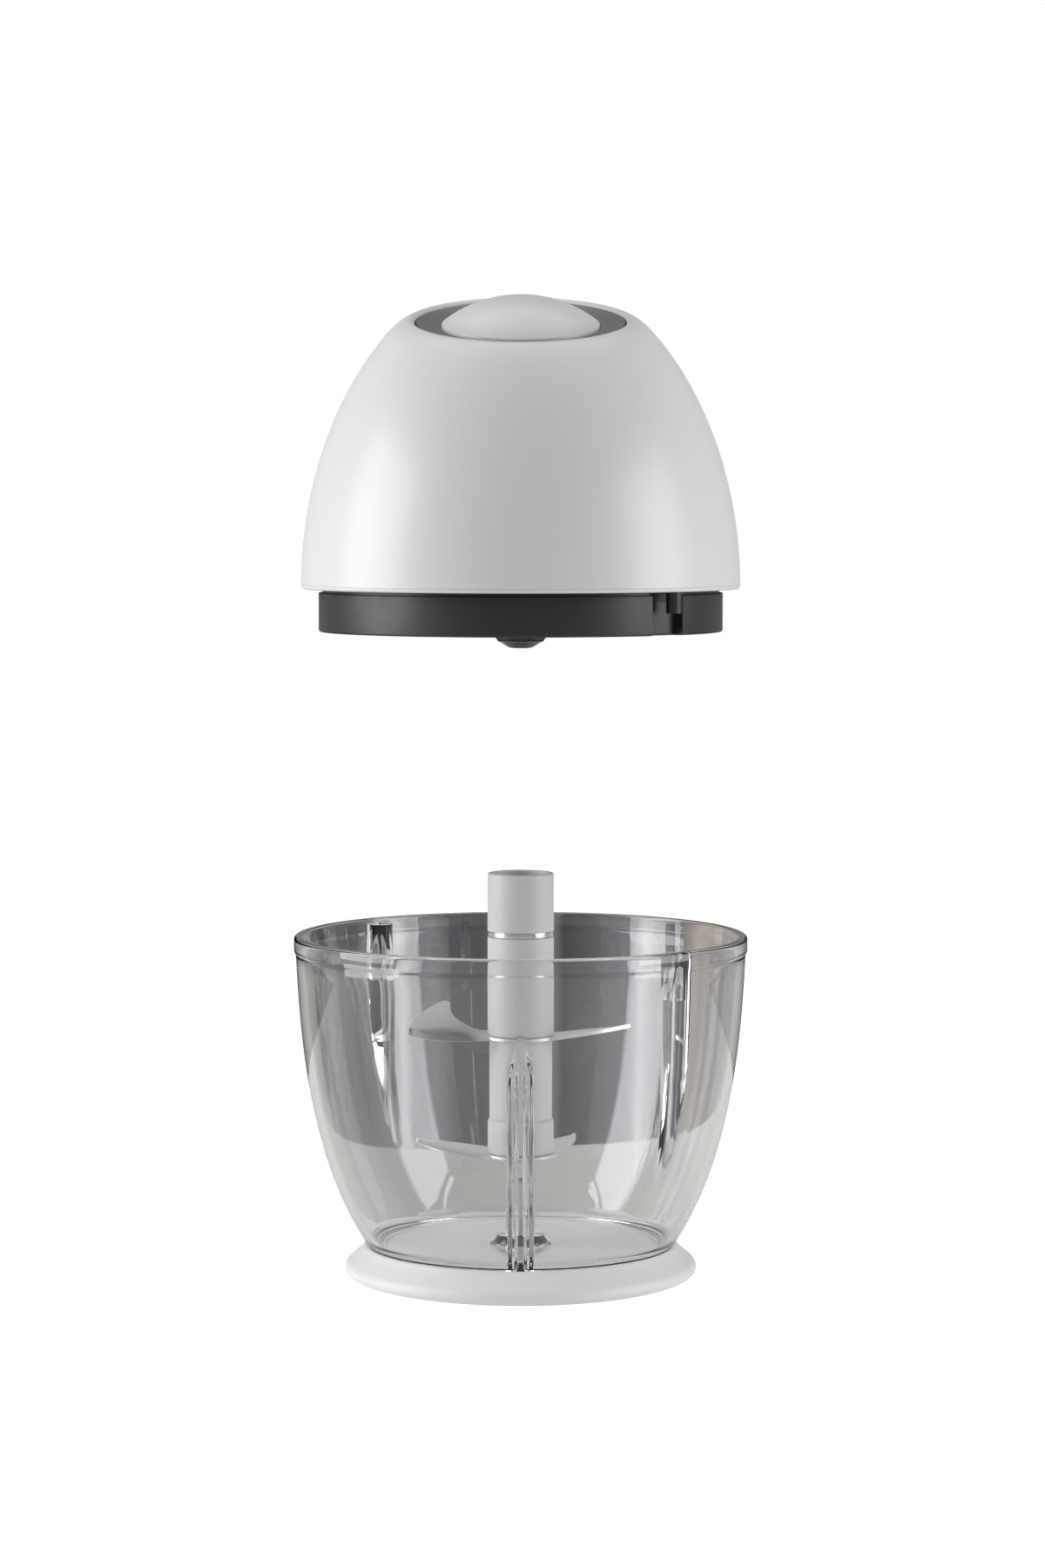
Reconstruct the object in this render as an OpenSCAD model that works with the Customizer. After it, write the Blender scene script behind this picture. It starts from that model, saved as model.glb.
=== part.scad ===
// Hand chopper shown taken apart: motor head raised, blade unit lifted off its pin, clear bowl on its base.
// All lengths are millimetres. Z is up, the front is -Y, and the origin is the centre of the base's underside.

/* [Bowl] */
// Height of the bowl's rim above the table
bowl_h = 114; // [95:1:130]
// Outer radius of the bowl just under its rim
bowl_r = 75; // [68:0.5:90]
// Outer radius of the bowl where it meets the base
bowl_foot_r = 51; // [45:0.5:54]
// Wall thickness of the clear bowl
bowl_wall = 2.8; // [2:0.1:3.4]
// Height of the bowl's inside floor above the table
floor_z = 11; // [10:0.5:14]
// Depth of the thickened lip
lip_h = 5.6; // [4:0.2:8]
// Width of the moulded rib at the front
front_rib_w = 8; // [6:0.5:12]
// How far the front rib stands into the bowl
front_rib_relief = 3; // [2:0.25:4]
// Height of the front rib's pointed end above the table
front_rib_top = 86; // [60:1:92]
// Outer radius of the two lock columns inside the wall
column_r = 4.7; // [4:0.1:5.2]
// Bore radius of the lock columns
column_bore_r = 3; // [2.4:0.1:3.2]

/* [Base] */
// How far the base ring flares out past the bowl's foot
base_flare = 7.8; // [5:0.2:12]
// Height of the base ring
base_h = 10.5; // [9:0.5:12]
// Height at which the base ring is widest
base_belly_z = 3.2; // [2.6:0.1:4]

/* [Blade unit] */
// Radius of the blade tube
tube_r = 11; // [10:0.1:13.2]
// How far the seated blade tube's top stays below the bowl's rim
tube_below_rim = 3.4; // [1:0.1:8]
// Radius of the steel pin that the blades turn on
pin_r = 4; // [3:0.1:4.5]
// Height of the steel pin above the bowl's floor
pin_l = 22; // [16:1:23]
// Height of the lower blade above the tube's lower end
lower_blade_z = 0.8; // [0.6:0.1:2]
// Height of the upper blade above the tube's lower end
upper_blade_z = 40.2; // [34:0.1:44]
// Reach of the blades from the axis
blade_reach = 38; // [32:0.5:40]
// Thickness of the blade steel
blade_t = 1.2; // [0.8:0.1:1.6]

/* [Motor head] */
// How far the dome's lower edge lies inside the bowl's rim
dome_inset = 2.5; // [0:0.1:4]
// Height of the ring plane above the dome's lower edge
ring_h = 88.5; // [87:0.5:92]
// Width of the dished ring between the button and the dome's lip
well_width = 8.8; // [7.5:0.1:11]
// Width of the dome's soft lip round the ring
ring_lip = 4.1; // [3.6:0.1:5]
// Forward lean of the ring plane, in degrees
lean = 14; // [8:1:15]
// Wall thickness of the dome
dome_wall = 2.4; // [1.8:0.1:3]
// How far the dark collar lies inside the bowl's rim
collar_inset = 8.3; // [7.5:0.1:10]
// Depth of the dark collar
collar_h = 14; // [13:0.5:17]
// Wall thickness of the collar
collar_wall = 2.2; // [1.6:0.1:2.6]

/* [Button] */
// Radius of the push button
button_r = 26.1; // [23:0.1:31.5]
// Crown height of the button above the ring plane
button_crown = 7.6; // [5:0.1:10]
// Travel of the button
button_travel = 3; // [2:0.1:3]

/* [Gears] */
// Tooth size of the planetary gears
gear_module = 1.2; // [1.1:0.05:1.25]
// Width of the gears
gear_w = 8; // [5:0.5:8]

/* [Raised position] */
// How far the motor head is held above its seat on the bowl
head_raise = 114.4; // [100:1:130]
// How far the blade unit is held above its seat on the pin
blade_raise = 24; // [23.5:0.5:28]

/* [Hidden] */
$fn = 96;

// Clearances between pieces
run_gap = 0.05;
body_gap = 0.3;
slip_gap = 0.35;
eps = 0.01;

// Pieces that follow the bowl and the button
base_r = bowl_foot_r + base_flare;
dome_r = bowl_r - dome_inset;
collar_r = bowl_r - collar_inset;
ring_r = button_r + well_width;
dome_ellipse_h = ring_h / sqrt(1 - pow((ring_r + ring_lip) / dome_r, 2));

// Seats of the two pieces that lift off
head_z = bowl_h + body_gap;
boss_h = 3;
boss_r = 9;
tube_z = floor_z + boss_h + 1.3;
bush_z = floor_z + boss_h + body_gap;
tube_l = bowl_h - tube_below_rim - tube_z;

// Curve of the bowl's outer wall, a cubic from the foot to the rim
wall_a = [bowl_foot_r, base_h];
wall_b = [bowl_foot_r + 0.82 * (bowl_r - bowl_foot_r), base_h + 0.275 * (bowl_h - base_h)];
wall_c = [bowl_r - 1.4, base_h + 0.68 * (bowl_h - base_h)];
wall_d = [bowl_r - 0.1, bowl_h - 2.2];
wall_steps = 24;
lip_r = bowl_r + 0.3;
column_at_r = bowl_r - 6;
column_top = bowl_h - 1.6;
column_bottom = 44;
column_angles = [45, 225];
column_bore_depth = 14;

// Pieces of the blade unit, measured from the tube's lower end
core_r = tube_r - 2.6;
bush_r = pin_r + 2.5;
bush_l = 12;
spacer_r = tube_r - 0.6;
collar_top = 13.5;
drive_bore_r = tube_r - 2;
drive_bore_depth = 20;
band_z = tube_l - 21.3;
blade_ring_r = tube_r + 1.3;
band_h = 2;
drive_rib_w = 2;
drive_rib_h = 0.9;

// Inner layout of the head, measured from the dome's lower edge
well_r = tube_r + 1.2;
well_wall = 1.4;
well_top = tube_z + tube_l - head_z + 1.2;
floor_top = well_top + 2.5;
spindle_r = 5;
spigot_r = drive_bore_r - slip_gap;
spigot_low = -collar_h - 5.6;
carrier_z = floor_top + 2.6;
carrier_t = 3;
carrier_r = 23;
gear_z = carrier_z + carrier_t + 0.6;
cover_z = gear_z + gear_w + 2;
sun_teeth = 9;
planet_teeth = 18;
ring_teeth = 45;
orbit_r = gear_module * (sun_teeth + planet_teeth) / 2;
ring_gear_r = gear_module * ring_teeth / 2 + 2.6;
housing_r = ring_gear_r + 2;
planet_pin_r = 2.5;
ear_r = housing_r + 4;
shaft_r = 2.5;
stack_z = cover_z + 20;
stack_h = 18;
stator_r = 29;
stator_half = 25;
bore_r = 14.5;
motor_post_x = 25.5;
commutator_z = stack_z + stack_h + 4.5;
commutator_r = 8;
bridge_z = commutator_z + 7.5;
gland_h = 11;
case_screw_r = collar_r - 6.5;
notch_w = 2 * column_r + 4.6;
notch_at_r = column_at_r - column_r - 1.1;

// Shape of the top dish and the button, measured along the leaning axis from the ring plane
dish_r = ring_r - 0.3;
well_in_r = button_r + 0.5;
dish_drop = 2.4;
dish_floor = -9.3;
dish_t = 1.6;
stem_r = 3;
plunger_y = button_r - 5.6;
plunger_r = 2;
switch_top = dish_floor - dish_t - button_travel - 0.9;
switch_h = 8;

// Point on the bowl's outer wall, and the direction it runs in, for t from 0 to 1
function wall_at(t) = pow(1 - t, 3) * wall_a + 3 * pow(1 - t, 2) * t * wall_b
    + 3 * (1 - t) * t * t * wall_c + pow(t, 3) * wall_d;
function wall_run(t) = 3 * pow(1 - t, 2) * (wall_b - wall_a) + 6 * (1 - t) * t * (wall_c - wall_b)
    + 3 * t * t * (wall_d - wall_c);
// The wall curve moved inwards by a depth, square to itself
function wall_in(t, depth) = wall_at(t)
    - depth * [wall_run(t)[1], -wall_run(t)[0]] / norm(wall_run(t));

// Radius and lean of the dome's section at height h above its lower edge
function dome_at(h) = dome_r * sqrt(1 - pow(h / dome_ellipse_h, 2));
function lean_at(h) = lean * asin(h / dome_ellipse_h) / asin(ring_h / dome_ellipse_h);

// Points along a curve from a to c, pulled towards b
function pull(a, b, c) = [for (t = [0:0.125:1]) (1 - t) * (1 - t) * a + 2 * t * (1 - t) * b + t * t * c];

// Involute gear: half the angle of a tooth at radius r
function inv_deg(a) = tan(a) * 180 / PI - a;
function half_tooth(z, r, slack) = 90 / z - slack / (gear_module * z / 2) * 180 / PI
    + inv_deg(25) - inv_deg(acos(min(1, gear_module * z / 2 * cos(25) / r)));
function tooth_radii(low, high) = [for (i = [0:3]) low + (high - low) * i / 3];
function gear_outline(z, low, high, slack) = [for (k = [0:z - 1], side = [-1, 1], i = [0:3])
    let (r = tooth_radii(low, high)[side < 0 ? i : 3 - i])
    let (a = 360 / z * k + side * half_tooth(z, r, slack))
    [r * cos(a), r * sin(a)]];

// Places a shape in the leaning frame of the ring plane
module on_ring() {
    translate([0, 0, head_z + head_raise + ring_h])
        rotate([lean, 0, 0])
            children();
}

// Places a shape in the raised head, measured from the dome's lower edge
module in_head() {
    translate([0, 0, head_z + head_raise])
        children();
}

// Places a shape in the raised blade unit, measured from the tube's lower end
module in_blades() {
    translate([0, 0, tube_z + blade_raise])
        children();
}

// A plain ring
module ring(outer, inner, h) {
    difference() {
        cylinder(r = outer, h = h);
        translate([0, 0, -1])
            cylinder(r = inner, h = h + 2);
    }
}

// Two rod ends or corner pieces placed either side of the axis
module both_sides(x) {
    for (s = [-1, 1])
        translate([s * x, 0, 0])
            children();
}

// Solid of revolution under the bowl's wall, moved inwards by a depth
module bowl_form(depth) {
    rotate_extrude($fn = 120)
        polygon(concat([[0, base_h - 4]], [[wall_in(0, depth)[0], base_h - 4]],
            [for (i = [0:wall_steps]) wall_in(i / wall_steps, depth)],
            [[wall_in(1, depth)[0], bowl_h + 1]], [[0, bowl_h + 1]]));
}

// Upright slab with a pointed arch top, standing out from the axis to the front
module arch_slab(w, top) {
    half = w / 2;
    rise = w * 1.4;
    rotate([90, 0, 0])
        linear_extrude(bowl_r + 5)
            intersection() {
                translate([-half, base_h - 3])
                    square([w, top - base_h + 3]);
                union() {
                    translate([-half, base_h - 3])
                        square([w, top - rise - base_h + 3]);
                    intersection() {
                        translate([half - (half * half + rise * rise) / w, top - rise])
                            circle(r = (half * half + rise * rise) / w);
                        translate([-half + (half * half + rise * rise) / w, top - rise])
                            circle(r = (half * half + rise * rise) / w);
                    }
                }
            }
}

module bowl() {
    color([0.8, 0.82, 0.84, 0.35])
        difference() {
            union() {
                rotate_extrude($fn = 120)
                    polygon(concat([[0, floor_z - 3]], [[bowl_foot_r - 4, floor_z - 3]],
                        [[bowl_foot_r - 4, base_h - 2.8]], [[bowl_foot_r, base_h - 2.8]],
                        [for (i = [0:wall_steps]) wall_at(i / wall_steps)],
                        [[lip_r, bowl_h - lip_h + 0.6]], [[lip_r, bowl_h - 1.2]],
                        [[lip_r - 0.5, bowl_h - 0.3]], [[lip_r - 1.2, bowl_h]],
                        [[bowl_r - bowl_wall + 0.5, bowl_h]],
                        [[bowl_r - bowl_wall, bowl_h - 0.5]],
                        [for (i = [wall_steps:-1:0]) wall_in(i / wall_steps, bowl_wall)],
                        [[wall_in(0, bowl_wall)[0] - 2, floor_z]], [[0, floor_z]]));
                // Centre boss that carries the pin
                translate([0, 0, floor_z - 1])
                    cylinder(r1 = boss_r + 0.6, r2 = boss_r - 1.5, h = boss_h + 1);
                // Lock columns inside the wall
                intersection() {
                    for (a = column_angles)
                        rotate(a)
                            translate([0, -column_at_r, column_bottom])
                                cylinder(r = column_r, h = column_top - column_bottom, $fn = 48);
                    bowl_form(1);
                }
                // Moulded rib at the front
                intersection() {
                    difference() {
                        bowl_form(1);
                        bowl_form(bowl_wall + front_rib_relief);
                    }
                    arch_slab(front_rib_w, front_rib_top);
                    translate([0, 0, floor_z - 1])
                        cylinder(r = bowl_r, h = bowl_h);
                }
            }
            for (a = column_angles)
                rotate(a)
                    translate([0, -column_at_r, column_top - column_bore_depth])
                        cylinder(r = column_bore_r, h = column_bore_depth + 5, $fn = 48);
            // Flute behind the front rib, open to the outside
            difference() {
                arch_slab(front_rib_w - 4, front_rib_top - 6);
                bowl_form(front_rib_relief);
                translate([0, 0, -1])
                    cylinder(r = bowl_r + 20, h = base_h + 3);
            }
            translate([0, 0, floor_z - 2])
                cylinder(r = pin_r, h = 10);
        }
}

module bowl_pin() {
    color("silver")
        translate([0, 0, floor_z - 2])
            rotate_extrude()
                polygon([[0, 0], [pin_r, 0], [pin_r, pin_l + 0.8], [pin_r - 1.2, pin_l + 2],
                    [0, pin_l + 2]]);
}

module base_ring() {
    color("white")
        rotate_extrude($fn = 120)
            polygon(concat([[0, base_h - 5.8]], [[bowl_foot_r - 6, base_h - 5.8]],
                [[bowl_foot_r - 6, 0.8]], [[bowl_foot_r - 1, 0.8]], [[bowl_foot_r - 1, 0]],
                [[base_r - 2.6, 0]],
                [for (a = [-80:20:20]) [base_r - 2.6 + 2.6 * cos(a), base_belly_z + 2.6 * sin(a)]],
                [for (t = [0.25:0.25:1]) [base_r - 0.9 - t * (base_r - bowl_foot_r - 1.8),
                    base_belly_z + 1.5 + (base_h - base_belly_z - 1.5) * pow(t, 1.25)]],
                [[bowl_foot_r + 0.15, base_h]], [[bowl_foot_r + 0.15, base_h - 2.8]],
                [[bowl_foot_r - 4.15, base_h - 2.8]], [[bowl_foot_r - 4.15, floor_z - 3.3]],
                [[0, floor_z - 3.3]]));
}

module base_grip() {
    color("dimgray")
        ring(bowl_foot_r - 1.2, bowl_foot_r - 5.8, 0.8);
}

module blade_bush() {
    color("white")
        translate([0, 0, bush_z + blade_raise])
            ring(bush_r, pin_r + run_gap, bush_l);
}

module hub_core() {
    color("gainsboro")
        in_blades()
            difference() {
                union() {
                    cylinder(r = core_r + 1.8, h = lower_blade_z);
                    cylinder(r = core_r, h = tube_l - drive_bore_depth);
                }
                translate([0, 0, -1])
                    cylinder(r = bush_r + run_gap, h = bush_l + 1.5);
                translate([0, 0, -1])
                    cylinder(r = pin_r + 1.2, h = tube_l - drive_bore_depth - 4);
            }
}

module hub_sleeve() {
    color("gainsboro")
        in_blades()
            difference() {
                union() {
                    difference() {
                        translate([0, 0, upper_blade_z + blade_t])
                            cylinder(r = tube_r, h = tube_l - upper_blade_z - blade_t);
                        translate([0, 0, upper_blade_z])
                            cylinder(r = core_r, h = tube_l - drive_bore_depth - upper_blade_z);
                        translate([0, 0, tube_l - drive_bore_depth - eps])
                            cylinder(r = drive_bore_r, h = drive_bore_depth + 1);
                    }
                    for (a = [0:90:270])
                        rotate(a)
                            translate([drive_bore_r - drive_rib_h, -drive_rib_w / 2,
                                    tube_l - drive_bore_depth])
                                cube([drive_rib_h + 0.4, drive_rib_w, drive_bore_depth - 4]);
                }
                translate([0, 0, band_z])
                    ring(tube_r + 1, tube_r - 0.8, band_h);
            }
}

module hub_spacer() {
    color("gainsboro")
        in_blades()
            translate([0, 0, collar_top])
                ring(spacer_r, core_r, upper_blade_z - collar_top);
}

module hub_collar() {
    color("gainsboro")
        in_blades()
            difference() {
                union() {
                    translate([0, 0, lower_blade_z + blade_t])
                        cylinder(r = tube_r, h = collar_top - lower_blade_z - blade_t - 1);
                    translate([0, 0, collar_top - 1])
                        cylinder(r1 = tube_r, r2 = spacer_r, h = 1);
                }
                cylinder(r = core_r, h = collar_top + 1);
            }
}

module hub_band() {
    color("silver")
        in_blades()
            translate([0, 0, band_z])
                ring(tube_r - 0.3, tube_r - 0.8, band_h);
}

// Keeps a blade clear of the tube's mouldings above and below its ring
module blade_bore() {
    difference() {
        children();
        translate([0, 0, -12])
            cylinder(r = core_r, h = 24);
        translate([0, 0, blade_t])
            ring(tube_r + 0.2, core_r - 1, 12);
        translate([0, 0, -12])
            ring(tube_r + 0.2, core_r - 1, 12);
    }
}

// Turns a blade arm up about its root by an angle
module turned_up(root, angle) {
    translate([root, 0, 0])
        rotate([0, root > 0 ? -angle : angle, 0])
            translate([-root, 0, 0])
                children();
}

module upper_blade() {
    k = blade_reach / 38;
    color("silver")
        in_blades()
            translate([0, 0, upper_blade_z])
                blade_bore() {
                    cylinder(r = blade_ring_r, h = blade_t);
                    // Narrow arm to the right, its tip a little raised
                    turned_up(9, 6)
                        linear_extrude(blade_t)
                            polygon(k * concat(pull([9, -8], [26, -5], [37, 5]),
                                pull([37, 5.3], [24, 8], [9, 7])));
                    // Root of the broad arm to the left
                    translate([0, -8, 0])
                        rotate([8, 0, 0])
                            translate([-18, 0, 0])
                                cube([9, 12.5, blade_t]);
                    // Broad arm to the left, pitched up to a hook at its back edge
                    translate([0, -8, 0])
                        rotate([27, 0, 0])
                            translate([0, 8, 0])
                                linear_extrude(blade_t)
                                    polygon(k * concat(pull([-12, -8], [-30, -9], [-37.5, -0.5]),
                                        pull([-37.5, -0.5], [-35, 5], [-26.5, 13.8]),
                                        pull([-26.5, 13.8], [-24, 14.5], [-23.6, 12.6]),
                                        pull([-23.6, 12.6], [-26, 5.5], [-15, -3])));
                }
}

module lower_blade() {
    k = blade_reach / 38;
    color("silver")
        in_blades()
            translate([0, 0, lower_blade_z])
                blade_bore() {
                    cylinder(r = blade_ring_r, h = blade_t);
                    // Broad arm to the left, turned up towards its tip
                    turned_up(-9, 9)
                        linear_extrude(blade_t)
                            polygon(k * concat(pull([-9, -10], [-30, -11], [-35.5, 3.5]),
                                pull([-35.5, 4], [-24, 9], [-9, 10])));
                    // Arm to the back right, with a step cut in its tip
                    rotate(58)
                        turned_up(9, 4)
                            linear_extrude(blade_t)
                                polygon(k * concat(pull([9, -8], [24, -8], [34, -1]),
                                    [[34.4, 0.6], [32.2, 0.4], [31.6, 2.2]],
                                    pull([31.6, 2.2], [24, 6], [9, 7])));
                }
}

// One thin leaning disc of the dome
module dome_disc(h, r) {
    translate([0, 0, h])
        rotate([lean_at(h), 0, 0])
            cylinder(r = r, h = 0.05, center = true, $fn = 64);
}

// Closed body of the dome, smaller by a wall where wanted
module dome_body(wall) {
    hull() {
        translate([0, 0, wall > 0 ? -1 : 0])
            cylinder(r = dome_r - 1 - wall, h = 0.05, $fn = 64);
        for (i = [0:13])
            dome_disc(1.5 + (ring_h - 4.5 - wall / 2) * sin(90 * i / 13),
                dome_at(1.5 + (ring_h - 4.5 - wall / 2) * sin(90 * i / 13)) - wall);
        dome_disc(ring_h - 1 - wall, ring_r + 3.4 - wall);
        dome_disc(ring_h - wall, ring_r + 1.2 - wall / 2);
    }
}

module dome_shell() {
    color("white")
        difference() {
            in_head()
                dome_body(0);
            in_head()
                dome_body(dome_wall);
            on_ring()
                translate([0, 0, -14])
                    cylinder(r = ring_r, h = 30);
            in_head()
                translate([0, dome_r - 12, gland_h])
                    rotate([-90, 0, 0])
                        cylinder(r = 5.3, h = 20);
        }
}

module collar() {
    color("dimgray")
        in_head()
            difference() {
                union() {
                    translate([0, 0, -collar_h])
                        rotate_extrude($fn = 120)
                            polygon([[collar_r - collar_wall, 2.4 + eps], [collar_r - collar_wall, 0],
                                [collar_r - 0.6, 0], [collar_r, 0.6], [collar_r, collar_h - 0.1],
                                [dome_r - 4, collar_h - 0.1], [dome_r - 4, collar_h + 2],
                                [dome_r - dome_wall - 1.3, collar_h + 2],
                                [dome_r - dome_wall - 1.3, collar_h + 4],
                                [collar_r - collar_wall, collar_h + 4]]);
                    for (a = [0:90:270])
                        rotate(a)
                            translate([case_screw_r, 0, -collar_h + 2.4])
                                cylinder(r = 4.8, h = collar_h - 1, $fn = 48);
                    for (a = column_angles)
                        rotate(a)
                            translate([0, 0, -collar_h + 2.4])
                                intersection() {
                                    translate([-notch_w / 2 - 2, -collar_r, 0])
                                        cube([notch_w + 4, collar_r - notch_at_r + 2.2,
                                            collar_h - 2.4]);
                                    cylinder(r = collar_r - 0.7, h = collar_h);
                                }
                }
                // Notches that clear the lock columns
                for (a = column_angles)
                    rotate(a)
                        translate([-notch_w / 2, -dome_r, -collar_h - 1])
                            cube([notch_w, dome_r - notch_at_r, collar_h + 1]);
                for (a = [0:90:270])
                    rotate(a)
                        translate([case_screw_r, 0, -collar_h - 1])
                            cylinder(r = 1.5, h = collar_h - 1, $fn = 32);
            }
}

module lock_pins() {
    color("dimgray")
        in_head()
            for (a = column_angles)
                rotate(a)
                    translate([0, -column_at_r, -collar_h + 7.2])
                        cylinder(r = column_bore_r - 0.5, h = collar_h - 7.2, $fn = 48);
}

module base_plate() {
    color("dimgray")
        in_head()
            difference() {
                union() {
                    translate([0, 0, -collar_h])
                        ring(collar_r - collar_wall - 0.1, well_r, 2.4);
                    translate([0, 0, -collar_h])
                        ring(well_r + well_wall, well_r, collar_h + floor_top);
                    translate([0, 0, well_top])
                        ring(well_r + well_wall, spindle_r + 2.5, floor_top - well_top);
                    for (a = [45:90:315])
                        rotate(a)
                            translate([ear_r, 0, -collar_h])
                                cylinder(r = 4, h = collar_h + floor_top - 1.5, $fn = 48);
                }
                for (a = column_angles)
                    rotate(a)
                        translate([-notch_w / 2 - 2.1, -collar_r, -collar_h - 1])
                            cube([notch_w + 4.2, collar_r - notch_at_r + 2.3, collar_h]);
                for (a = [0:90:270])
                    rotate(a)
                        translate([case_screw_r, 0, -collar_h - 1]) {
                            cylinder(r = 1.7, h = 5, $fn = 32);
                            cylinder(r = 3.3, h = 2.2, $fn = 32);
                        }
                for (a = [45:90:315])
                    rotate(a)
                        translate([ear_r, 0, floor_top - 10])
                            cylinder(r = 1.5, h = 12, $fn = 32);
            }
}

module case_screws() {
    color("silver")
        in_head()
            for (a = [0:90:270])
                rotate(a)
                    translate([case_screw_r, 0, -collar_h]) {
                        cylinder(r = 3.1, h = 1.2, $fn = 32);
                        cylinder(r = 1.5, h = 9, $fn = 32);
                    }
}

module top_dish() {
    color("gray")
        on_ring()
            difference() {
                rotate_extrude()
                    polygon(concat([[0, dish_floor]], [[well_in_r, dish_floor]],
                        [[well_in_r, -dish_drop]],
                        [for (t = [0.125:0.125:1]) [well_in_r + t * (dish_r - well_in_r),
                            -dish_drop + (dish_drop - 0.4) * (1 - cos(90 * t))]],
                        [[dish_r, -2.4]], [[well_in_r + 1.4, -dish_drop - 2]],
                        [[well_in_r + 1.4, dish_floor - dish_t]], [[0, dish_floor - dish_t]]));
                translate([0, 0, dish_floor - 3])
                    cylinder(r = stem_r + run_gap, h = 5, $fn = 48);
                translate([0, plunger_y, dish_floor - 3])
                    cylinder(r = plunger_r + 0.4, h = 5, $fn = 48);
            }
}

// Rise of the button's crown over its edge, and radius of the ball that it is cut from
crown_rise = button_crown + 1.5;
crown_ball = (button_r * button_r + crown_rise * crown_rise) / (2 * crown_rise);

module button_cap() {
    color("white")
        on_ring()
            union() {
                rotate_extrude()
                    polygon(concat([[button_r - 2, -5.5]], [[button_r, -5.5]], [[button_r, -2.1]],
                        [for (i = [0:12]) let (a = asin((button_r - 0.35) / crown_ball) * (12 - i) / 12)
                            [crown_ball * sin(a), button_crown - crown_ball * (1 - cos(a))]],
                        [[0, button_crown - 2.2]],
                        [for (i = [1:10]) let (a = asin((button_r - 2) / crown_ball) * i / 10)
                            [(crown_ball - 2.2) * sin(a), button_crown - 2.2
                                - (crown_ball - 2.2) * (1 - cos(a))]],
                        [[button_r - 2, -3.4]]));
                translate([0, 0, dish_floor - dish_t - 1.4])
                    cylinder(r = stem_r, h = button_crown - dish_floor + dish_t, $fn = 48);
                translate([0, plunger_y, dish_floor - dish_t - 0.3])
                    cylinder(r = plunger_r, h = 9.5 + dish_t - dish_floor - 8, $fn = 48);
            }
}

module button_clip() {
    color("silver")
        on_ring()
            translate([0, 0, dish_floor - dish_t - 1.2])
                ring(stem_r + 2, stem_r, 0.8);
}

module button_spring() {
    color("silver")
        on_ring()
            translate([0, 0, dish_floor]) {
                ring(4.8, 4.6, button_crown - 2.6 - dish_floor);
                for (k = [0:5])
                    translate([0, 0, 0.5 + k * (button_crown - 3.6 - dish_floor) / 5])
                        rotate_extrude($fn = 48)
                            translate([4.7, 0])
                                circle(r = 0.5, $fn = 16);
            }
}

module switch_body() {
    color("black")
        on_ring()
            translate([0, plunger_y, switch_top - switch_h])
                difference() {
                    translate([-10, -3.2, 0])
                        cube([20, 6.4, switch_h]);
                    translate([0, 0, 1.2])
                        cylinder(r = 1.5 + run_gap, h = switch_h, $fn = 32);
                }
}

module switch_plunger() {
    color("red")
        on_ring()
            translate([0, plunger_y, switch_top - 3])
                cylinder(r = 1.5, h = button_travel + 0.9 + 3 - 0.6, $fn = 32);
}

module switch_cradle() {
    color("dimgray")
        on_ring()
            translate([0, plunger_y, switch_top - switch_h]) {
                both_sides(11.1)
                    translate([-1, -3, -1.6])
                        cube([2, 6, dish_floor - dish_t - switch_top + switch_h + 1.6]);
                translate([-12, -3, -1.6])
                    cube([24, 6, 1.5]);
            }
}

module cord_gland() {
    color("dimgray")
        in_head()
            translate([0, dome_r, gland_h])
                rotate([-90, 0, 0])
                    difference() {
                        union() {
                            translate([0, 0, -6])
                                cylinder(r = 5, h = 8.5, $fn = 48);
                            translate([0, 0, 0.6])
                                cylinder(r1 = 7, r2 = 6, h = 2, $fn = 48);
                            translate([0, 0, -6])
                                cylinder(r = 6.8, h = 2, $fn = 48);
                        }
                        translate([0, 0, -8])
                            cylinder(r = 3.3, h = 16, $fn = 48);
                    }
}

module gearbox_housing() {
    color("ivory")
        in_head()
            difference() {
                union() {
                    translate([0, 0, floor_top])
                        cylinder(r = housing_r, h = cover_z - floor_top);
                    for (a = [45:90:315])
                        rotate(a)
                            translate([ear_r, 0, floor_top])
                                cylinder(r = 4.5, h = 2, $fn = 48);
                }
                translate([0, 0, floor_top + 2])
                    cylinder(r = ring_gear_r, h = cover_z);
                translate([0, 0, floor_top - 1])
                    cylinder(r = spindle_r + 2.5, h = 5);
                for (a = [45:90:315])
                    rotate(a)
                        translate([ear_r, 0, floor_top - 1])
                            cylinder(r = 1.7, h = 5, $fn = 32);
            }
}

module ring_gear() {
    color("beige")
        in_head()
            translate([0, 0, gear_z - 0.2])
                linear_extrude(gear_w + 0.4)
                    difference() {
                        circle(r = ring_gear_r);
                        polygon(gear_outline(ring_teeth, gear_module * (ring_teeth / 2 - 0.7),
                            gear_module * (ring_teeth / 2 + 1.1), -0.04));
                    }
}

module output_bush() {
    color("goldenrod")
        in_head()
            translate([0, 0, well_top])
                ring(spindle_r + 2.5, spindle_r + run_gap, floor_top + 2 - well_top);
}

module planet_carrier() {
    color("ivory")
        in_head() {
            translate([0, 0, carrier_z])
                cylinder(r = carrier_r, h = carrier_t);
            translate([0, 0, well_top - 1])
                cylinder(r = spindle_r, h = carrier_z - well_top + 1 + eps);
            for (a = [0:120:240])
                rotate(a)
                    translate([orbit_r, 0, carrier_z])
                        cylinder(r = planet_pin_r, h = carrier_t + gear_w + 1.2, $fn = 48);
        }
}

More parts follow.
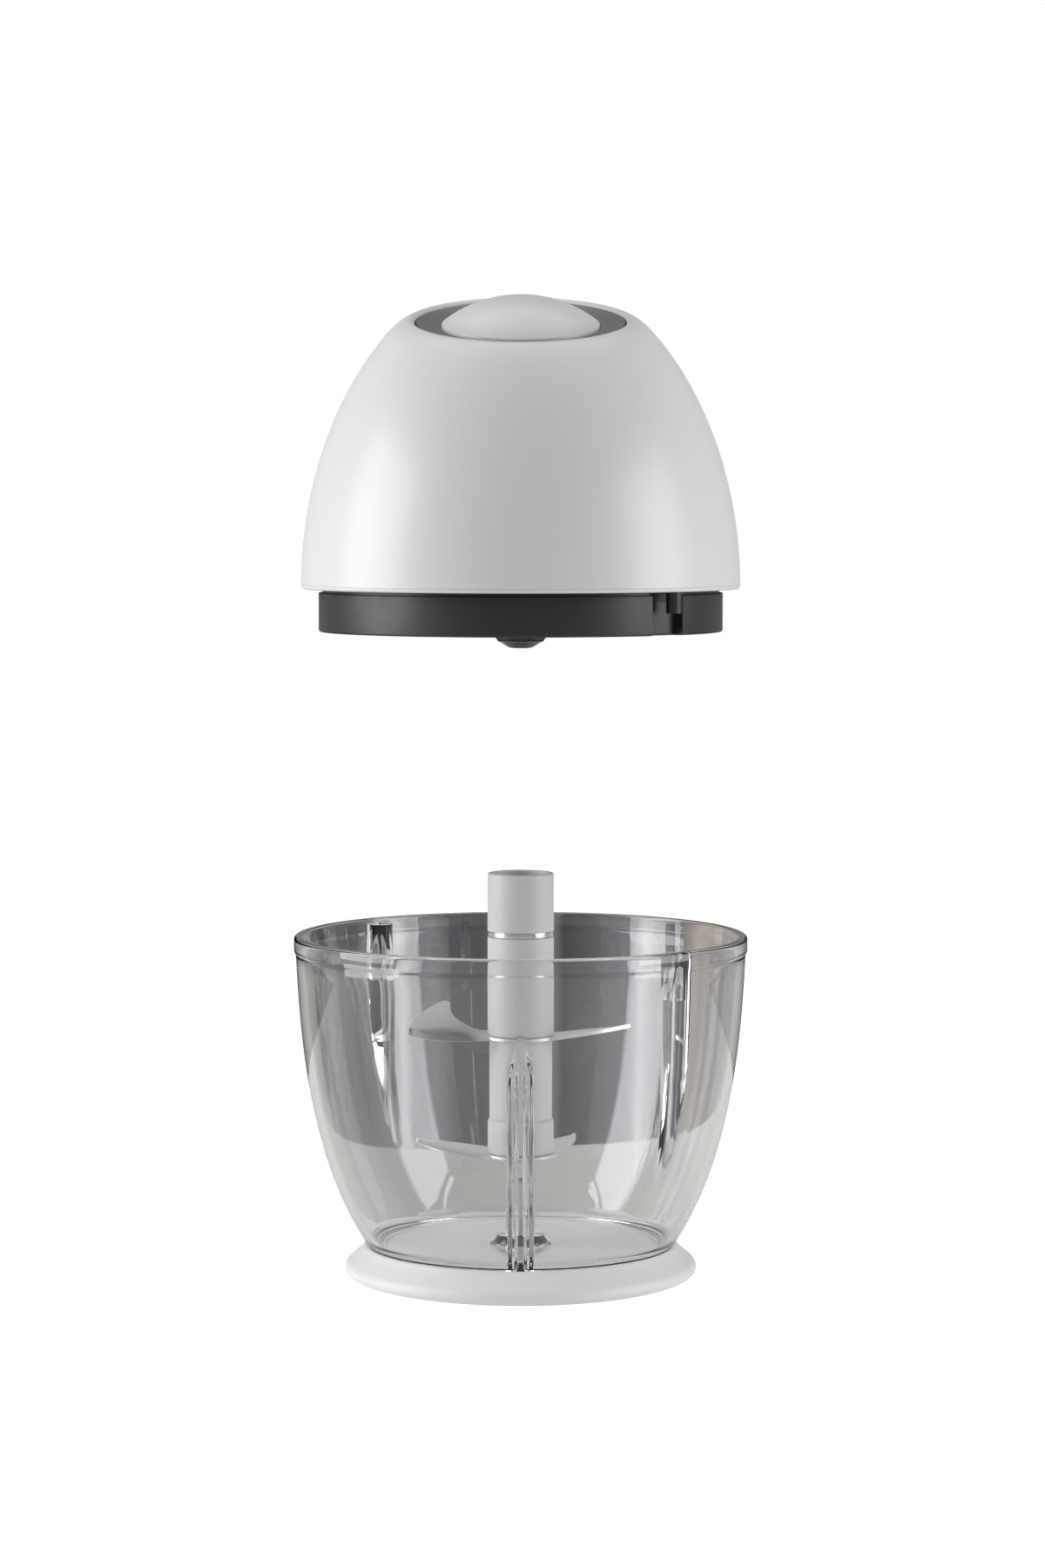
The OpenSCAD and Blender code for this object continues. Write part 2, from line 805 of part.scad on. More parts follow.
module drive_spigot() {
    color("black")
        in_head()
            difference() {
                rotate_extrude()
                    polygon([[0, spigot_low], [3.4, spigot_low], [5.6, spigot_low + 0.8],
                        [6.8, spigot_low + 2], [7.4, spigot_low + 2.2], [8.1, spigot_low + 3.4],
                        [spigot_r, spigot_low + 3.6], [spigot_r, well_top - 1],
                        [0, well_top - 1]]);
                for (a = [0:90:270])
                    rotate(a)
                        translate([drive_bore_r - drive_rib_h - 0.4, -drive_rib_w / 2 - 0.3,
                                spigot_low - 1])
                            cube([4, drive_rib_w + 0.6, well_top - spigot_low - 2.5]);
            }
}

module planet(k) {
    color("white")
        in_head()
            rotate(120 * k)
                translate([orbit_r, 0, gear_z])
                    difference() {
                        linear_extrude(gear_w)
                            polygon(gear_outline(planet_teeth, gear_module * (planet_teeth / 2 - 1.1),
                                gear_module * (planet_teeth / 2 + 0.7), 0.04));
                        translate([0, 0, -1])
                            cylinder(r = planet_pin_r + run_gap, h = gear_w + 2, $fn = 48);
                    }
}

module sun_pinion() {
    color("silver")
        in_head()
            rotate(180 / sun_teeth)
                translate([0, 0, gear_z])
                    difference() {
                        linear_extrude(gear_w)
                            polygon(gear_outline(sun_teeth, gear_module * (sun_teeth / 2 - 1.05),
                                gear_module * (sun_teeth / 2 + 0.7), 0.04));
                        translate([0, 0, -1])
                            cylinder(r = shaft_r, h = gear_w + 2, $fn = 48);
                    }
}

module gearbox_cover() {
    color("ivory")
        in_head()
            difference() {
                union() {
                    translate([0, 0, cover_z])
                        cylinder(r = housing_r, h = 2.4);
                    translate([0, 0, cover_z])
                        cylinder(r = 10, h = 7);
                    both_sides(motor_post_x)
                        translate([0, 0, cover_z])
                            cylinder(r = 2.8, h = stack_z - cover_z, $fn = 48);
                }
                translate([0, 0, cover_z - 1])
                    cylinder(r = shaft_r + 1, h = 20);
                translate([0, 0, cover_z + 2])
                    cylinder(r = 8, h = 20);
                both_sides(motor_post_x)
                    translate([0, 0, stack_z - 8])
                        cylinder(r = 1.5, h = 9, $fn = 32);
            }
}

module lower_bearing() {
    color("silver")
        in_head()
            translate([0, 0, cover_z + 2])
                ring(8, shaft_r + run_gap, 5);
}

module upper_bearing() {
    color("silver")
        in_head()
            translate([0, 0, bridge_z + 1])
                ring(7, shaft_r + run_gap, 4);
}

module motor_shaft() {
    color("silver")
        in_head()
            translate([0, 0, gear_z])
                cylinder(r = shaft_r, h = bridge_z + 4.6 - gear_z);
}

module fan() {
    color("ivory")
        in_head()
            translate([0, 0, cover_z + 8.5])
                difference() {
                    union() {
                        cylinder(r = 5.5, h = 6);
                        cylinder(r = 21, h = 1.2);
                        for (a = [0:36:324])
                            rotate(a)
                                translate([5, -0.6, 0])
                                    cube([15.5, 1.2, 6]);
                    }
                    translate([0, 0, -1])
                        cylinder(r = shaft_r, h = 9);
                }
}

module armature_core() {
    color("slategray")
        in_head()
            translate([0, 0, stack_z])
                difference() {
                    cylinder(r = bore_r - 0.5, h = stack_h);
                    translate([0, 0, -1])
                        cylinder(r = shaft_r, h = stack_h + 2);
                    for (a = [0:30:330])
                        rotate(a)
                            translate([11.2, -0.6, -1])
                                cube([5, 1.2, stack_h + 2]);
                }
}

module armature_winding() {
    color("peru")
        in_head() {
            translate([0, 0, stack_z - 3])
                ring(11.2, shaft_r, 3);
            translate([0, 0, stack_z + stack_h])
                ring(11.2, shaft_r, 3);
        }
}

module commutator() {
    color("peru")
        in_head()
            translate([0, 0, commutator_z])
                difference() {
                    cylinder(r = commutator_r, h = 6.5);
                    translate([0, 0, -1])
                        cylinder(r = shaft_r, h = 9);
                }
}

module motor_stator() {
    color("slategray")
        in_head()
            translate([0, 0, stack_z])
                linear_extrude(stack_h)
                    difference() {
                        intersection() {
                            circle(r = stator_r);
                            square([stator_r * 2, stator_half * 2], center = true);
                        }
                        circle(r = bore_r);
                        for (x = [-17, 17], y = [-17, 17])
                            translate([x, y])
                                circle(r = 4, $fn = 48);
                        both_sides(motor_post_x)
                            circle(r = 1.6, $fn = 32);
                    }
}

module field_coils() {
    color("peru")
        in_head()
            both_sides(17) {
                for (y = [-17, 17])
                    translate([0, y, stack_z - 4])
                        cylinder(r = 3.8, h = stack_h + 8, $fn = 48);
                for (z = [stack_z - 4, stack_z + stack_h + 0.4])
                    translate([-2.8, -17, z])
                        cube([5.6, 34, 3.6]);
            }
}

module motor_bracket() {
    color("silver")
        in_head()
            difference() {
                union() {
                    both_sides(motor_post_x)
                        translate([-2.8, -5, stack_z + stack_h])
                            cube([5.6, 10, bridge_z + 2 - stack_z - stack_h]);
                    translate([-motor_post_x - 2.8, -5, bridge_z])
                        cube([2 * motor_post_x + 5.6, 10, 2]);
                    translate([-4.5, -21, bridge_z])
                        cube([9, 42, 2]);
                    translate([0, 0, bridge_z])
                        cylinder(r = 9, h = 6);
                }
                translate([0, 0, bridge_z - 1])
                    cylinder(r = shaft_r + 1.5, h = 3);
                translate([0, 0, bridge_z + 1])
                    cylinder(r = 7, h = 4);
                both_sides(motor_post_x)
                    translate([0, 0, stack_z + stack_h - 1])
                        cylinder(r = 1.6, h = 40, $fn = 32);
            }
}

module motor_screws() {
    color("silver")
        in_head()
            both_sides(motor_post_x) {
                translate([0, 0, stack_z - 8])
                    cylinder(r = 1.5, h = bridge_z + 2 - stack_z + 8 + eps, $fn = 32);
                translate([0, 0, bridge_z + 2])
                    cylinder(r = 2.7, h = 1.8, $fn = 32);
            }
}

module brush_holders() {
    color("goldenrod")
        in_head()
            for (a = [0, 180])
                rotate(a)
                    translate([-4, 9.5, bridge_z - 7])
                        difference() {
                            cube([8, 12, 7]);
                            translate([0.9, -1, 1])
                                cube([6.2, 12, 5]);
                        }
}

module brushes() {
    color("black")
        in_head()
            for (a = [0, 180])
                rotate(a)
                    translate([-3, commutator_r + 0.2, bridge_z - 5.9])
                        cube([6, 7.8, 4.8]);
}

module brush_springs() {
    color("silver")
        in_head()
            for (a = [0, 180])
                rotate(a)
                    translate([0, commutator_r + 8, bridge_z - 3.5])
                        rotate([-90, 0, 0])
                            ring(2, 1.4, 12.5 - 8);
}

module motor_mounts() {
    color("dimgray")
        in_head()
            for (a = [45:90:315])
                rotate(a)
                    translate([ear_r, 0, floor_top - 1.5])
                        ring(4, 1.5, 1.5);
}

module gearbox_screws() {
    color("silver")
        in_head()
            for (a = [45:90:315])
                rotate(a)
                    translate([ear_r, 0, floor_top]) {
                        translate([0, 0, -9])
                            cylinder(r = 1.5, h = 11 + eps, $fn = 32);
                        translate([0, 0, 2])
                            cylinder(r = 3, h = 1.6, $fn = 32);
                    }
}

bowl();
bowl_pin();
base_ring();
base_grip();
blade_bush();
hub_core();
hub_sleeve();
hub_spacer();
hub_collar();
hub_band();
upper_blade();
lower_blade();
dome_shell();
collar();
base_plate();
top_dish();
cord_gland();
gearbox_housing();
ring_gear();
gearbox_cover();
output_bush();
motor_stator();
field_coils();
motor_bracket();
lower_bearing();
upper_bearing();
brush_holders();
brushes();
brush_springs();
switch_body();
switch_cradle();
motor_mounts();
case_screws();
gearbox_screws();
motor_screws();
lock_pins();
button_cap();
button_spring();
button_clip();
switch_plunger();
motor_shaft();
sun_pinion();
armature_core();
armature_winding();
commutator();
fan();
planet_carrier();
drive_spigot();
planet(0);  // planet_gear_1
planet(1);  // planet_gear_2
planet(2);  // planet_gear_3
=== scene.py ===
"""A hand chopper taken apart: the motor head is raised over its bowl and its blades."""
import math

import bmesh
import bpy
from mathutils import Matrix, Vector


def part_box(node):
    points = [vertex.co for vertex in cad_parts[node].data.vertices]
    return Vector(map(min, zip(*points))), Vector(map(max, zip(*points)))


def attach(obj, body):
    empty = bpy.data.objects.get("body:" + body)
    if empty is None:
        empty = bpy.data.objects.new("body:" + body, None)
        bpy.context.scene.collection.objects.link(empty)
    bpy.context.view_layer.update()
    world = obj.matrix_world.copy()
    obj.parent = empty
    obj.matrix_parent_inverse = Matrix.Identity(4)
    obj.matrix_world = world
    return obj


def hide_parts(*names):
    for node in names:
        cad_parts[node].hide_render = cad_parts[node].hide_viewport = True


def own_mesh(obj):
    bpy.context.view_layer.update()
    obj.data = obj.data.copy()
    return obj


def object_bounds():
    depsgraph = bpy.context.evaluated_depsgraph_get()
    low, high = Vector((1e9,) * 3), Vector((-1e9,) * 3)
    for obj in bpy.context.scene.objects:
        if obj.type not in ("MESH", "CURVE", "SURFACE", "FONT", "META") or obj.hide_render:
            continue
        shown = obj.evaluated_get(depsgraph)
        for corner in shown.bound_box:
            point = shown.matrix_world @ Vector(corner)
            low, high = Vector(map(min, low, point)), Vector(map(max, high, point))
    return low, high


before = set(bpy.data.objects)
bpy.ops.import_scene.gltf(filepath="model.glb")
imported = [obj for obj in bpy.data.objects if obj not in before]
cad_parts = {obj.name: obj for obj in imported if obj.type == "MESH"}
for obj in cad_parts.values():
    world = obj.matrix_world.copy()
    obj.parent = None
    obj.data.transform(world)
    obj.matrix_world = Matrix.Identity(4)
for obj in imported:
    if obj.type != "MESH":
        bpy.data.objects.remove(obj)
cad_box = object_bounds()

# ---------------------------------------------------------------- Studio
# A pale sweep of paper under and behind the chopper, a tall soft box close on the left, a weaker
# one on the right and a broad one above. The camera is a long lens set a little over the bowl's
# rim, so that the bowl is seen slightly from above and the head straight on.
MM = 0.001
SUBJECT = Vector((0, 0, (cad_box[0].z + cad_box[1].z) / 2))
camera_place, camera_tilt, camera_lens = (0.0006, -1.325, 0.2567), 4, 92
air_in_shade, air_in_gloss = 0.18, 0.36


def linear(hex_colour):
    """The linear values of an sRGB colour such as #E4E4E2."""
    shares = [int(hex_colour[i : i + 2], 16) / 255 for i in (1, 3, 5)]
    return [s / 12.92 if s <= 0.04045 else ((s + 0.055) / 1.055) ** 2.4 for s in shares] + [1.0]


def add(tree, kind, values=None, links=None, **settings):
    """Adds one shader node with its input values, the sockets linked into it, and its settings."""
    node = tree.nodes.new(kind)
    for name, setting in settings.items():
        setattr(node, name, setting)
    for name, value in (values or {}).items():
        node.inputs[name].default_value = value
    for name, socket in (links or {}).items():
        tree.links.new(socket, node.inputs[name])
    return node


def started(name, **values):
    """A new material, its tree, its main shader and the object coordinates its patterns follow."""
    material = bpy.data.materials.new(name)
    material.use_nodes = True
    tree = material.node_tree
    shader = tree.nodes["Principled BSDF"]
    for socket, value in values.items():
        shader.inputs[socket.replace("_", " ")].default_value = value
    place = add(tree, "ShaderNodeTexCoord").outputs["Object"]
    return material, tree, shader, place


camera_data = bpy.data.cameras.new("studio_camera")
camera_data.lens = camera_lens
camera_data.sensor_fit = "VERTICAL"
camera_data.sensor_height = 36
camera_data.sensor_width = 24
camera = bpy.data.objects.new("studio_camera", camera_data)
camera.location = camera_place
camera.rotation_euler = (math.radians(90 - camera_tilt), 0, 0)
bpy.context.scene.collection.objects.link(camera)
bpy.context.scene.camera = camera

# The air is white where it is looked at, dimmer in what the chopper reflects and dimmest as light.
bpy.context.scene.view_settings.view_transform = "Standard"
world = bpy.data.worlds.new("studio_air")
bpy.context.scene.world = world
world.use_nodes = True
air = world.node_tree
air.nodes["Background"].inputs["Color"].default_value = linear("#FFFFFF")
path = add(air, "ShaderNodeLightPath").outputs
soft = add(
    air,
    "ShaderNodeMapRange",
    {"To Min": air_in_shade, "To Max": air_in_gloss},
    {"Value": path["Is Glossy Ray"]},
)
lit = add(
    air,
    "ShaderNodeMapRange",
    {"To Max": 1.0},
    {"Value": path["Is Camera Ray"], "To Min": soft.outputs[0]},
)
air.links.new(lit.outputs[0], air.nodes["Background"].inputs["Strength"])

for name, place, size, power, colour in (
    ("key_left", (-1.16, -0.16, 0.40), (0.8, 1.3), 16.0, "#FFFFFF"),
    ("fill_right", (1.15, -0.30, 0.36), (0.7, 1.2), 10.5, "#FFFFFF"),
    ("top", (0.0, 0.20, 1.15), (0.9, 0.7), 2.6, "#FFFFFF"),
):
    light = bpy.data.lights.new(name, "AREA")
    light.shape = "RECTANGLE"
    light.size, light.size_y = size
    light.energy = power
    light.color = linear(colour)[:3]
    lamp = bpy.data.objects.new(name, light)
    lamp.location = place
    lamp.rotation_euler = (SUBJECT - Vector(place)).to_track_quat("-Z", "Y").to_euler()
    bpy.context.scene.collection.objects.link(lamp)


def sheet_of(name, corners, material):
    """A flat four-cornered sheet that belongs to the studio and not to the chopper."""
    bm = bmesh.new()
    bm.faces.new([bm.verts.new(corner) for corner in corners])
    mesh = bpy.data.meshes.new(name)
    bm.to_mesh(mesh)
    bm.free()
    made = bpy.data.objects.new(name, mesh)
    bpy.context.scene.collection.objects.link(made)
    made.data.materials.append(material)
    return made


# The table is lit white paper, bright enough where it is looked at to leave no edge against the air.
table = cad_box[0].z
paper_reach, paper_glow, paper_glow_seen = 4, 0.3, 0.92
paper, tree, shader, _ = started("lit_white_paper", Base_Color=linear("#C8C8C8"), Roughness=0.9)
shader.inputs["Specular IOR Level"].default_value = 0.1
shader.inputs["Emission Color"].default_value = linear("#FFFFFF")
looked_at = add(tree, "ShaderNodeLightPath").outputs["Is Camera Ray"]
glow = add(
    tree,
    "ShaderNodeMapRange",
    {"To Min": paper_glow, "To Max": paper_glow_seen},
    {"Value": looked_at},
)
tree.links.new(glow.outputs[0], shader.inputs["Emission Strength"])
paper_corners = ((-1, -1), (1, -1), (1, 1), (-1, 1))
sheet_of("paper_floor", [(paper_reach * x, paper_reach * y, table) for x, y in paper_corners], paper)


card_half = 0.1


def graded_card(name, stops):
    """A card that glows with shades given from left to right, 0 and 1 being card_half to either side.

    Seen in a reflection it glows a pale warm grey instead, a painted reflection in the bowl's floor and
    walls.
    """
    card, tree, shader, place = started(name, Base_Color=linear("#000000"), Roughness=1.0)
    shader.inputs["Specular IOR Level"].default_value = 0.0
    shader.inputs["Emission Strength"].default_value = 1.0
    across = add(tree, "ShaderNodeSeparateXYZ", links={"Vector": place}).outputs["X"]
    along = add(
        tree, "ShaderNodeMapRange", {"From Min": -card_half, "From Max": card_half}, {"Value": across}
    )
    bands = add(tree, "ShaderNodeValToRGB", links={"Fac": along.outputs[0]})
    for spot, _ in stops[1:-1]:
        bands.color_ramp.elements.new(spot)
    for element, (spot, shade) in zip(bands.color_ramp.elements, stops):
        element.position = spot
        element.color = linear(shade)
    # Where the card is seen in a reflection it glows a pale warm grey: a painted reflection.
    glossed = add(tree, "ShaderNodeLightPath").outputs["Glossy Depth"]
    shade = add(
        tree,
        "ShaderNodeMix",
        {"B": linear("#E0DFDA")},
        {"Factor": glossed, "A": bands.outputs[0]},
        data_type="RGBA",
        clamp_factor=True,
    )
    tree.links.new(shade.outputs["Result"], shader.inputs["Emission Color"])
    return card


# A grey card stands behind the bowl, seen only through clear plastic, and glows painted shade and
# painted reflections into it: dark at the left and at the centre and paler to the right, with soft
# upright bands, the brightest of them painted highlights, and a sloping lower edge.
painted_reflection_card = graded_card(
    "painted_shade_and_reflection_bands",
    (
        (0.0, "#3A3A3C"),
        (0.10, "#424244"),
        (0.14, "#505052"),
        (0.19, "#747478"),
        (0.235, "#7E7E82"),
        (0.252, "#B0B0B2"),
        (0.275, "#6A6A6E"),
        (0.32, "#767679"),
        (0.36, "#4C4C50"),
        (0.42, "#46464A"),
        (0.50, "#6C6C70"),
        (0.53, "#8C8C90"),
        (0.56, "#78787C"),
        (0.585, "#38383A"),
        (0.63, "#4E4E50"),
        (0.69, "#6A6A6E"),
        (0.73, "#78787C"),
        (0.75, "#B4B4B6"),
        (0.78, "#86868A"),
        (0.82, "#626264"),
        (0.87, "#B0A598"),
        (0.93, "#8E877E"),
        (1.0, "#5A5A5C"),
    ),
)
behind = sheet_of(
    "card_behind",
    [(-0.4, 0.2, -0.003), (0.4, 0.2, 0.022), (0.4, 0.2, 0.24), (-0.4, 0.2, 0.24)],
    painted_reflection_card,
)
# A pale card lies on the table behind the bowl and glows painted shade, darker to the left, for what
# shows through the bowl's lower part.
painted_floor_shade_card = graded_card("painted_floor_shade_glow", ((0.0, "#A8A7A2"), (0.45, "#B2B1AC"), (1.0, "#D6D5D0")))
low = table + 0.0004
below = sheet_of(
    "card_below",
    [(-0.3, 0.06, low), (0.3, 0.06, low), (0.3, 0.7, low), (-0.3, 0.7, low)],
    painted_floor_shade_card,
)
# A dark flag stands on each side past the card, seen only as a reflection: it glows its own shade, a
# painted dark reflection that draws the dark edges of the clear wall, deeper on the left.
flag_corners = [(0.11, 0.26, 0.02), (0.5, 0.12, 0.02), (0.5, 0.12, 0.15), (0.11, 0.26, 0.15)]
flags = []
for name, side, shade in (("flag_left", -1, "#161617"), ("flag_right", 1, "#4A4A4C")):
    dark, _, shader, _ = started(name + "_painted_reflection", Base_Color=linear("#000000"), Roughness=1.0)
    shader.inputs["Specular IOR Level"].default_value = 0.0
    shader.inputs["Emission Color"].default_value = linear(shade)
    shader.inputs["Emission Strength"].default_value = 1.0
    flags.append(sheet_of(name, [(side * x, y, z) for x, y, z in flag_corners], dark))
# The cards are seen only through the clear wall, and the flags only in it.
for hidden in (behind, below, *flags):
    hidden.visible_camera = hidden.visible_diffuse = hidden.visible_shadow = False
    hidden.visible_glossy = hidden in flags
    hidden.visible_transmission = hidden not in flags


# ---------------------------------------------------------------- Base ring
# The wide foot that the bowl is fixed into: moulded white polypropylene with a satin, faintly
# grained skin, flared out to a rounded belly. It is turned round the axis from one outline.
def soften(corners, steps=4):
    """An outline of (radius, height, fillet) corners with each corner rounded by its fillet."""
    points = []
    for i, (x, z, fillet) in enumerate(corners):
        here = Vector((x, z))
        if fillet <= 0:
            points.append(here)
            continue
        before = Vector(corners[i - 1][:2])
        after = Vector(corners[(i + 1) % len(corners)][:2])
        start = here + (before - here).normalized() * fillet
        end = here + (after - here).normalized() * fillet
        for k in range(steps + 1):
            t = k / steps
            points.append((1 - t) ** 2 * start + 2 * t * (1 - t) * here + t * t * end)
    return points


def closed_mesh(bm, name, crease=35):
    """Turns a finished bmesh into an object with smooth shading and crisp edges."""
    bmesh.ops.remove_doubles(bm, verts=bm.verts, dist=2e-6)
    bmesh.ops.dissolve_degenerate(bm, edges=bm.edges, dist=1e-7)
    bmesh.ops.delete(bm, geom=[e for e in bm.edges if not e.link_faces], context="EDGES")
    bmesh.ops.recalc_face_normals(bm, faces=bm.faces)
    mesh = bpy.data.meshes.new(name)
    bm.to_mesh(mesh)
    bm.free()
    mesh.polygons.foreach_set("use_smooth", [True] * len(mesh.polygons))
    mesh.set_sharp_from_angle(angle=math.radians(crease))
    piece = bpy.data.objects.new(name, mesh)
    bpy.context.scene.collection.objects.link(piece)
    return piece


def turned(name, outline, sectors=((0, 360, 144),), shape=None, crease=35):
    """A closed outline in millimetres turned round the axis, then shaped point by point."""
    bm = bmesh.new()
    first = [bm.verts.new((x * MM, 0, z * MM)) for x, z in outline]
    geometry = first + [bm.edges.new(pair) for pair in zip(first, first[1:] + first[:1])]
    start = math.radians(sectors[0][0])
    bmesh.ops.rotate(bm, verts=first, cent=(0, 0, 0), matrix=Matrix.Rotation(start, 3, "Z"))
    for low, high, steps in sectors:
        turn = bmesh.ops.spin(
            bm,
            geom=geometry,
            cent=(0, 0, 0),
            axis=(0, 0, 1),
            angle=math.radians(high - low),
            steps=steps,
            use_merge=False,
            use_duplicate=False,
        )
        geometry = turn["geom_last"]
    bmesh.ops.remove_doubles(bm, verts=bm.verts, dist=2e-6)
    if shape:
        for point in bm.verts:
            point.co = shape(point.co / MM) * MM
    return closed_mesh(bm, name, crease)


base_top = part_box("base_ring")[1].z / MM
base_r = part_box("base_ring")[1].x / MM
base_seat_r, base_seat_z, base_belly, base_deck_low = 51.15, base_top - 2.8, 3.2, base_top - 5.7
grip_in, grip_out, grip_groove = 45.0, 50.0, 0.8
foot_step_r, foot_step_z = 46.9, 7.65
base_outline = soften(
    [
        (0, base_deck_low, 0),
        (grip_in, base_deck_low, 0.3),
        (grip_in, grip_groove, 0.2),
        (grip_out, grip_groove, 0.1),
        (grip_out, 0.0, 0.3),
        (base_r - 3.4, 0.0, 1.6),
        (base_r - 0.75, base_belly - 2.0, 1.2),
        (base_r, base_belly - 0.2, 0.9),
        (base_r - 0.55, base_belly + 1.5, 1.2),
        (base_r - 3.0, base_belly + 3.6, 2.0),
        (base_r - 5.6, base_belly + 5.9, 1.6),
        (base_seat_r + 0.9, base_top, 0.5),
        (base_seat_r, base_top, 0.2),
        (base_seat_r, base_seat_z, 0),
        (foot_step_r, base_seat_z, 0),
        (foot_step_r, foot_step_z, 0),
        (0, foot_step_z, 0),
    ],
    5,
)
base = turned("base_ring_moulding", base_outline)


def surfaced(tree, shader, relief, strength, depth, gloss, low, high):
    """Gives a shader one pattern as relief, its depth in metres, and one that drifts its roughness."""
    bump = add(
        tree,
        "ShaderNodeBump",
        {"Strength": strength, "Distance": depth},
        {"Height": relief.outputs[0]},
    )
    tree.links.new(bump.outputs[0], shader.inputs["Normal"])
    drift = add(
        tree,
        "ShaderNodeMapRange",
        {"From Min": 0.3, "From Max": 0.7, "To Min": low, "To Max": high},
        {"Value": gloss.outputs[0]},
    )
    tree.links.new(drift.outputs[0], shader.inputs["Roughness"])


satin_white, tree, shader, place = started(
    "white_polypropylene_satin", Base_Color=linear("#EDEDEC"), Roughness=0.42
)
# A spark-eroded tool leaves a fine even grain, about half a millimetre, drawn at 0.6 mm to show.
grain = add(tree, "ShaderNodeTexNoise", {"Scale": 1 / 0.0006, "Detail": 3.0}, {"Vector": place})
# Handling leaves patches a few centimetres wide that are a touch duller.
patches = add(tree, "ShaderNodeTexNoise", {"Scale": 1 / 0.03, "Detail": 2.0}, {"Vector": place})
surfaced(tree, shader, grain, 0.06, 0.0002, patches, 0.38, 0.48)
base.data.materials.append(satin_white)
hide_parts("base_ring")
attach(base, "bowl_base")


def dress(material, *nodes):
    """Gives the frame's own pieces a material in place of their plain one."""
    for name in nodes:
        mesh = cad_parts[name].data
        mesh.materials.clear()
        mesh.materials.append(material)


# The anti-slip ring pressed into the base's underside is soft black rubber, matt and a bit dusty.
rubber, tree, shader, place = started("black_rubber_moulded", Base_Color=linear("#1E1E1E"), Roughness=0.8)
dust = add(tree, "ShaderNodeTexNoise", {"Scale": 1 / 0.002, "Detail": 4.0}, {"Vector": place})
tone = add(
    tree,
    "ShaderNodeMix",
    {"A": linear("#191919"), "B": linear("#2B2A29")},
    {"Factor": dust.outputs[0]},
    data_type="RGBA",
)
tree.links.new(tone.outputs["Result"], shader.inputs["Base Color"])
bump = add(tree, "ShaderNodeBump", {"Strength": 0.1, "Distance": 0.0003}, {"Height": dust.outputs[0]})
tree.links.new(bump.outputs[0], shader.inputs["Normal"])
dress(rubber, "base_grip", "motor_mounts")


# ---------------------------------------------------------------- Bowl
# The food bowl is injection moulded in one clear SAN shot, about 2.8 mm thick, polished inside and
# out. It has a pointed rib up the front, two hollow lock columns inside the wall and a flat boss
# round the pin. It is turned in sectors, and the rib, its flute and the columns are raised in it.
bowl_rim, bowl_h, bowl_foot, bowl_floor, bowl_wall = 75.0, 114.0, 51.0, 11.0, 2.8
wall_foot_z, bowl_under, foot_low = 10.5, 8.0, 7.75
boss_top, pin_hole_r, pin_seat = 14.0, 4.05, 9.0
column_at, column_r, column_cup, column_top = 69.0, 4.7, 3.0, 112.4
column_turns = (45, 225)
rib_half, rib_relief, rib_top, flute_half = 4.0, 2.9, 86.0, 1.9
controls = [
    Vector((bowl_foot, wall_foot_z)),
    Vector(
        (bowl_foot + 0.82 * (bowl_rim - bowl_foot), wall_foot_z + 0.275 * (bowl_h - wall_foot_z))
    ),
    Vector((bowl_rim - 1.4, wall_foot_z + 0.68 * (bowl_h - wall_foot_z))),
    Vector((bowl_rim - 0.1, bowl_h - 2.2)),
]


def wall_at(t, depth):
    """Point on the bowl's wall curve, moved inwards by a depth square to the curve."""
    a, b, c, d = controls
    point = (1 - t) ** 3 * a + 3 * (1 - t) ** 2 * t * b + 3 * (1 - t) * t * t * c + t**3 * d
    run = (1 - t) ** 2 * (b - a) + 2 * (1 - t) * t * (c - b) + t * t * (d - c)
    return point - depth * Vector((run.y, -run.x)).normalized()


def outer_at(z):
    """Radius of the bowl's outer wall at a height."""
    low, high = 0.0, 1.0
    for _ in range(24):
        middle = (low + high) / 2
        low, high = (middle, high) if wall_at(middle, 0).y < z else (low, middle)
    return wall_at(low, 0).x


def arch(z, half, top):
    """Half the width, at a height, of a band that ends in a pointed arch."""
    rise = 2.8 * half
    bend = (half * half + rise * rise) / (2 * half)
    over = z - (top - rise)
    if over <= 0:
        return half
    return max(0.0, math.sqrt(max(0.0, bend * bend - over * over)) - (bend - half))


def rounded_edge(inside, width):
    """0 outside an edge and 1 well inside it, with a smooth shoulder of that width."""
    share = min(1.0, max(0.0, inside / width))
    return share * share * (3 - 2 * share)


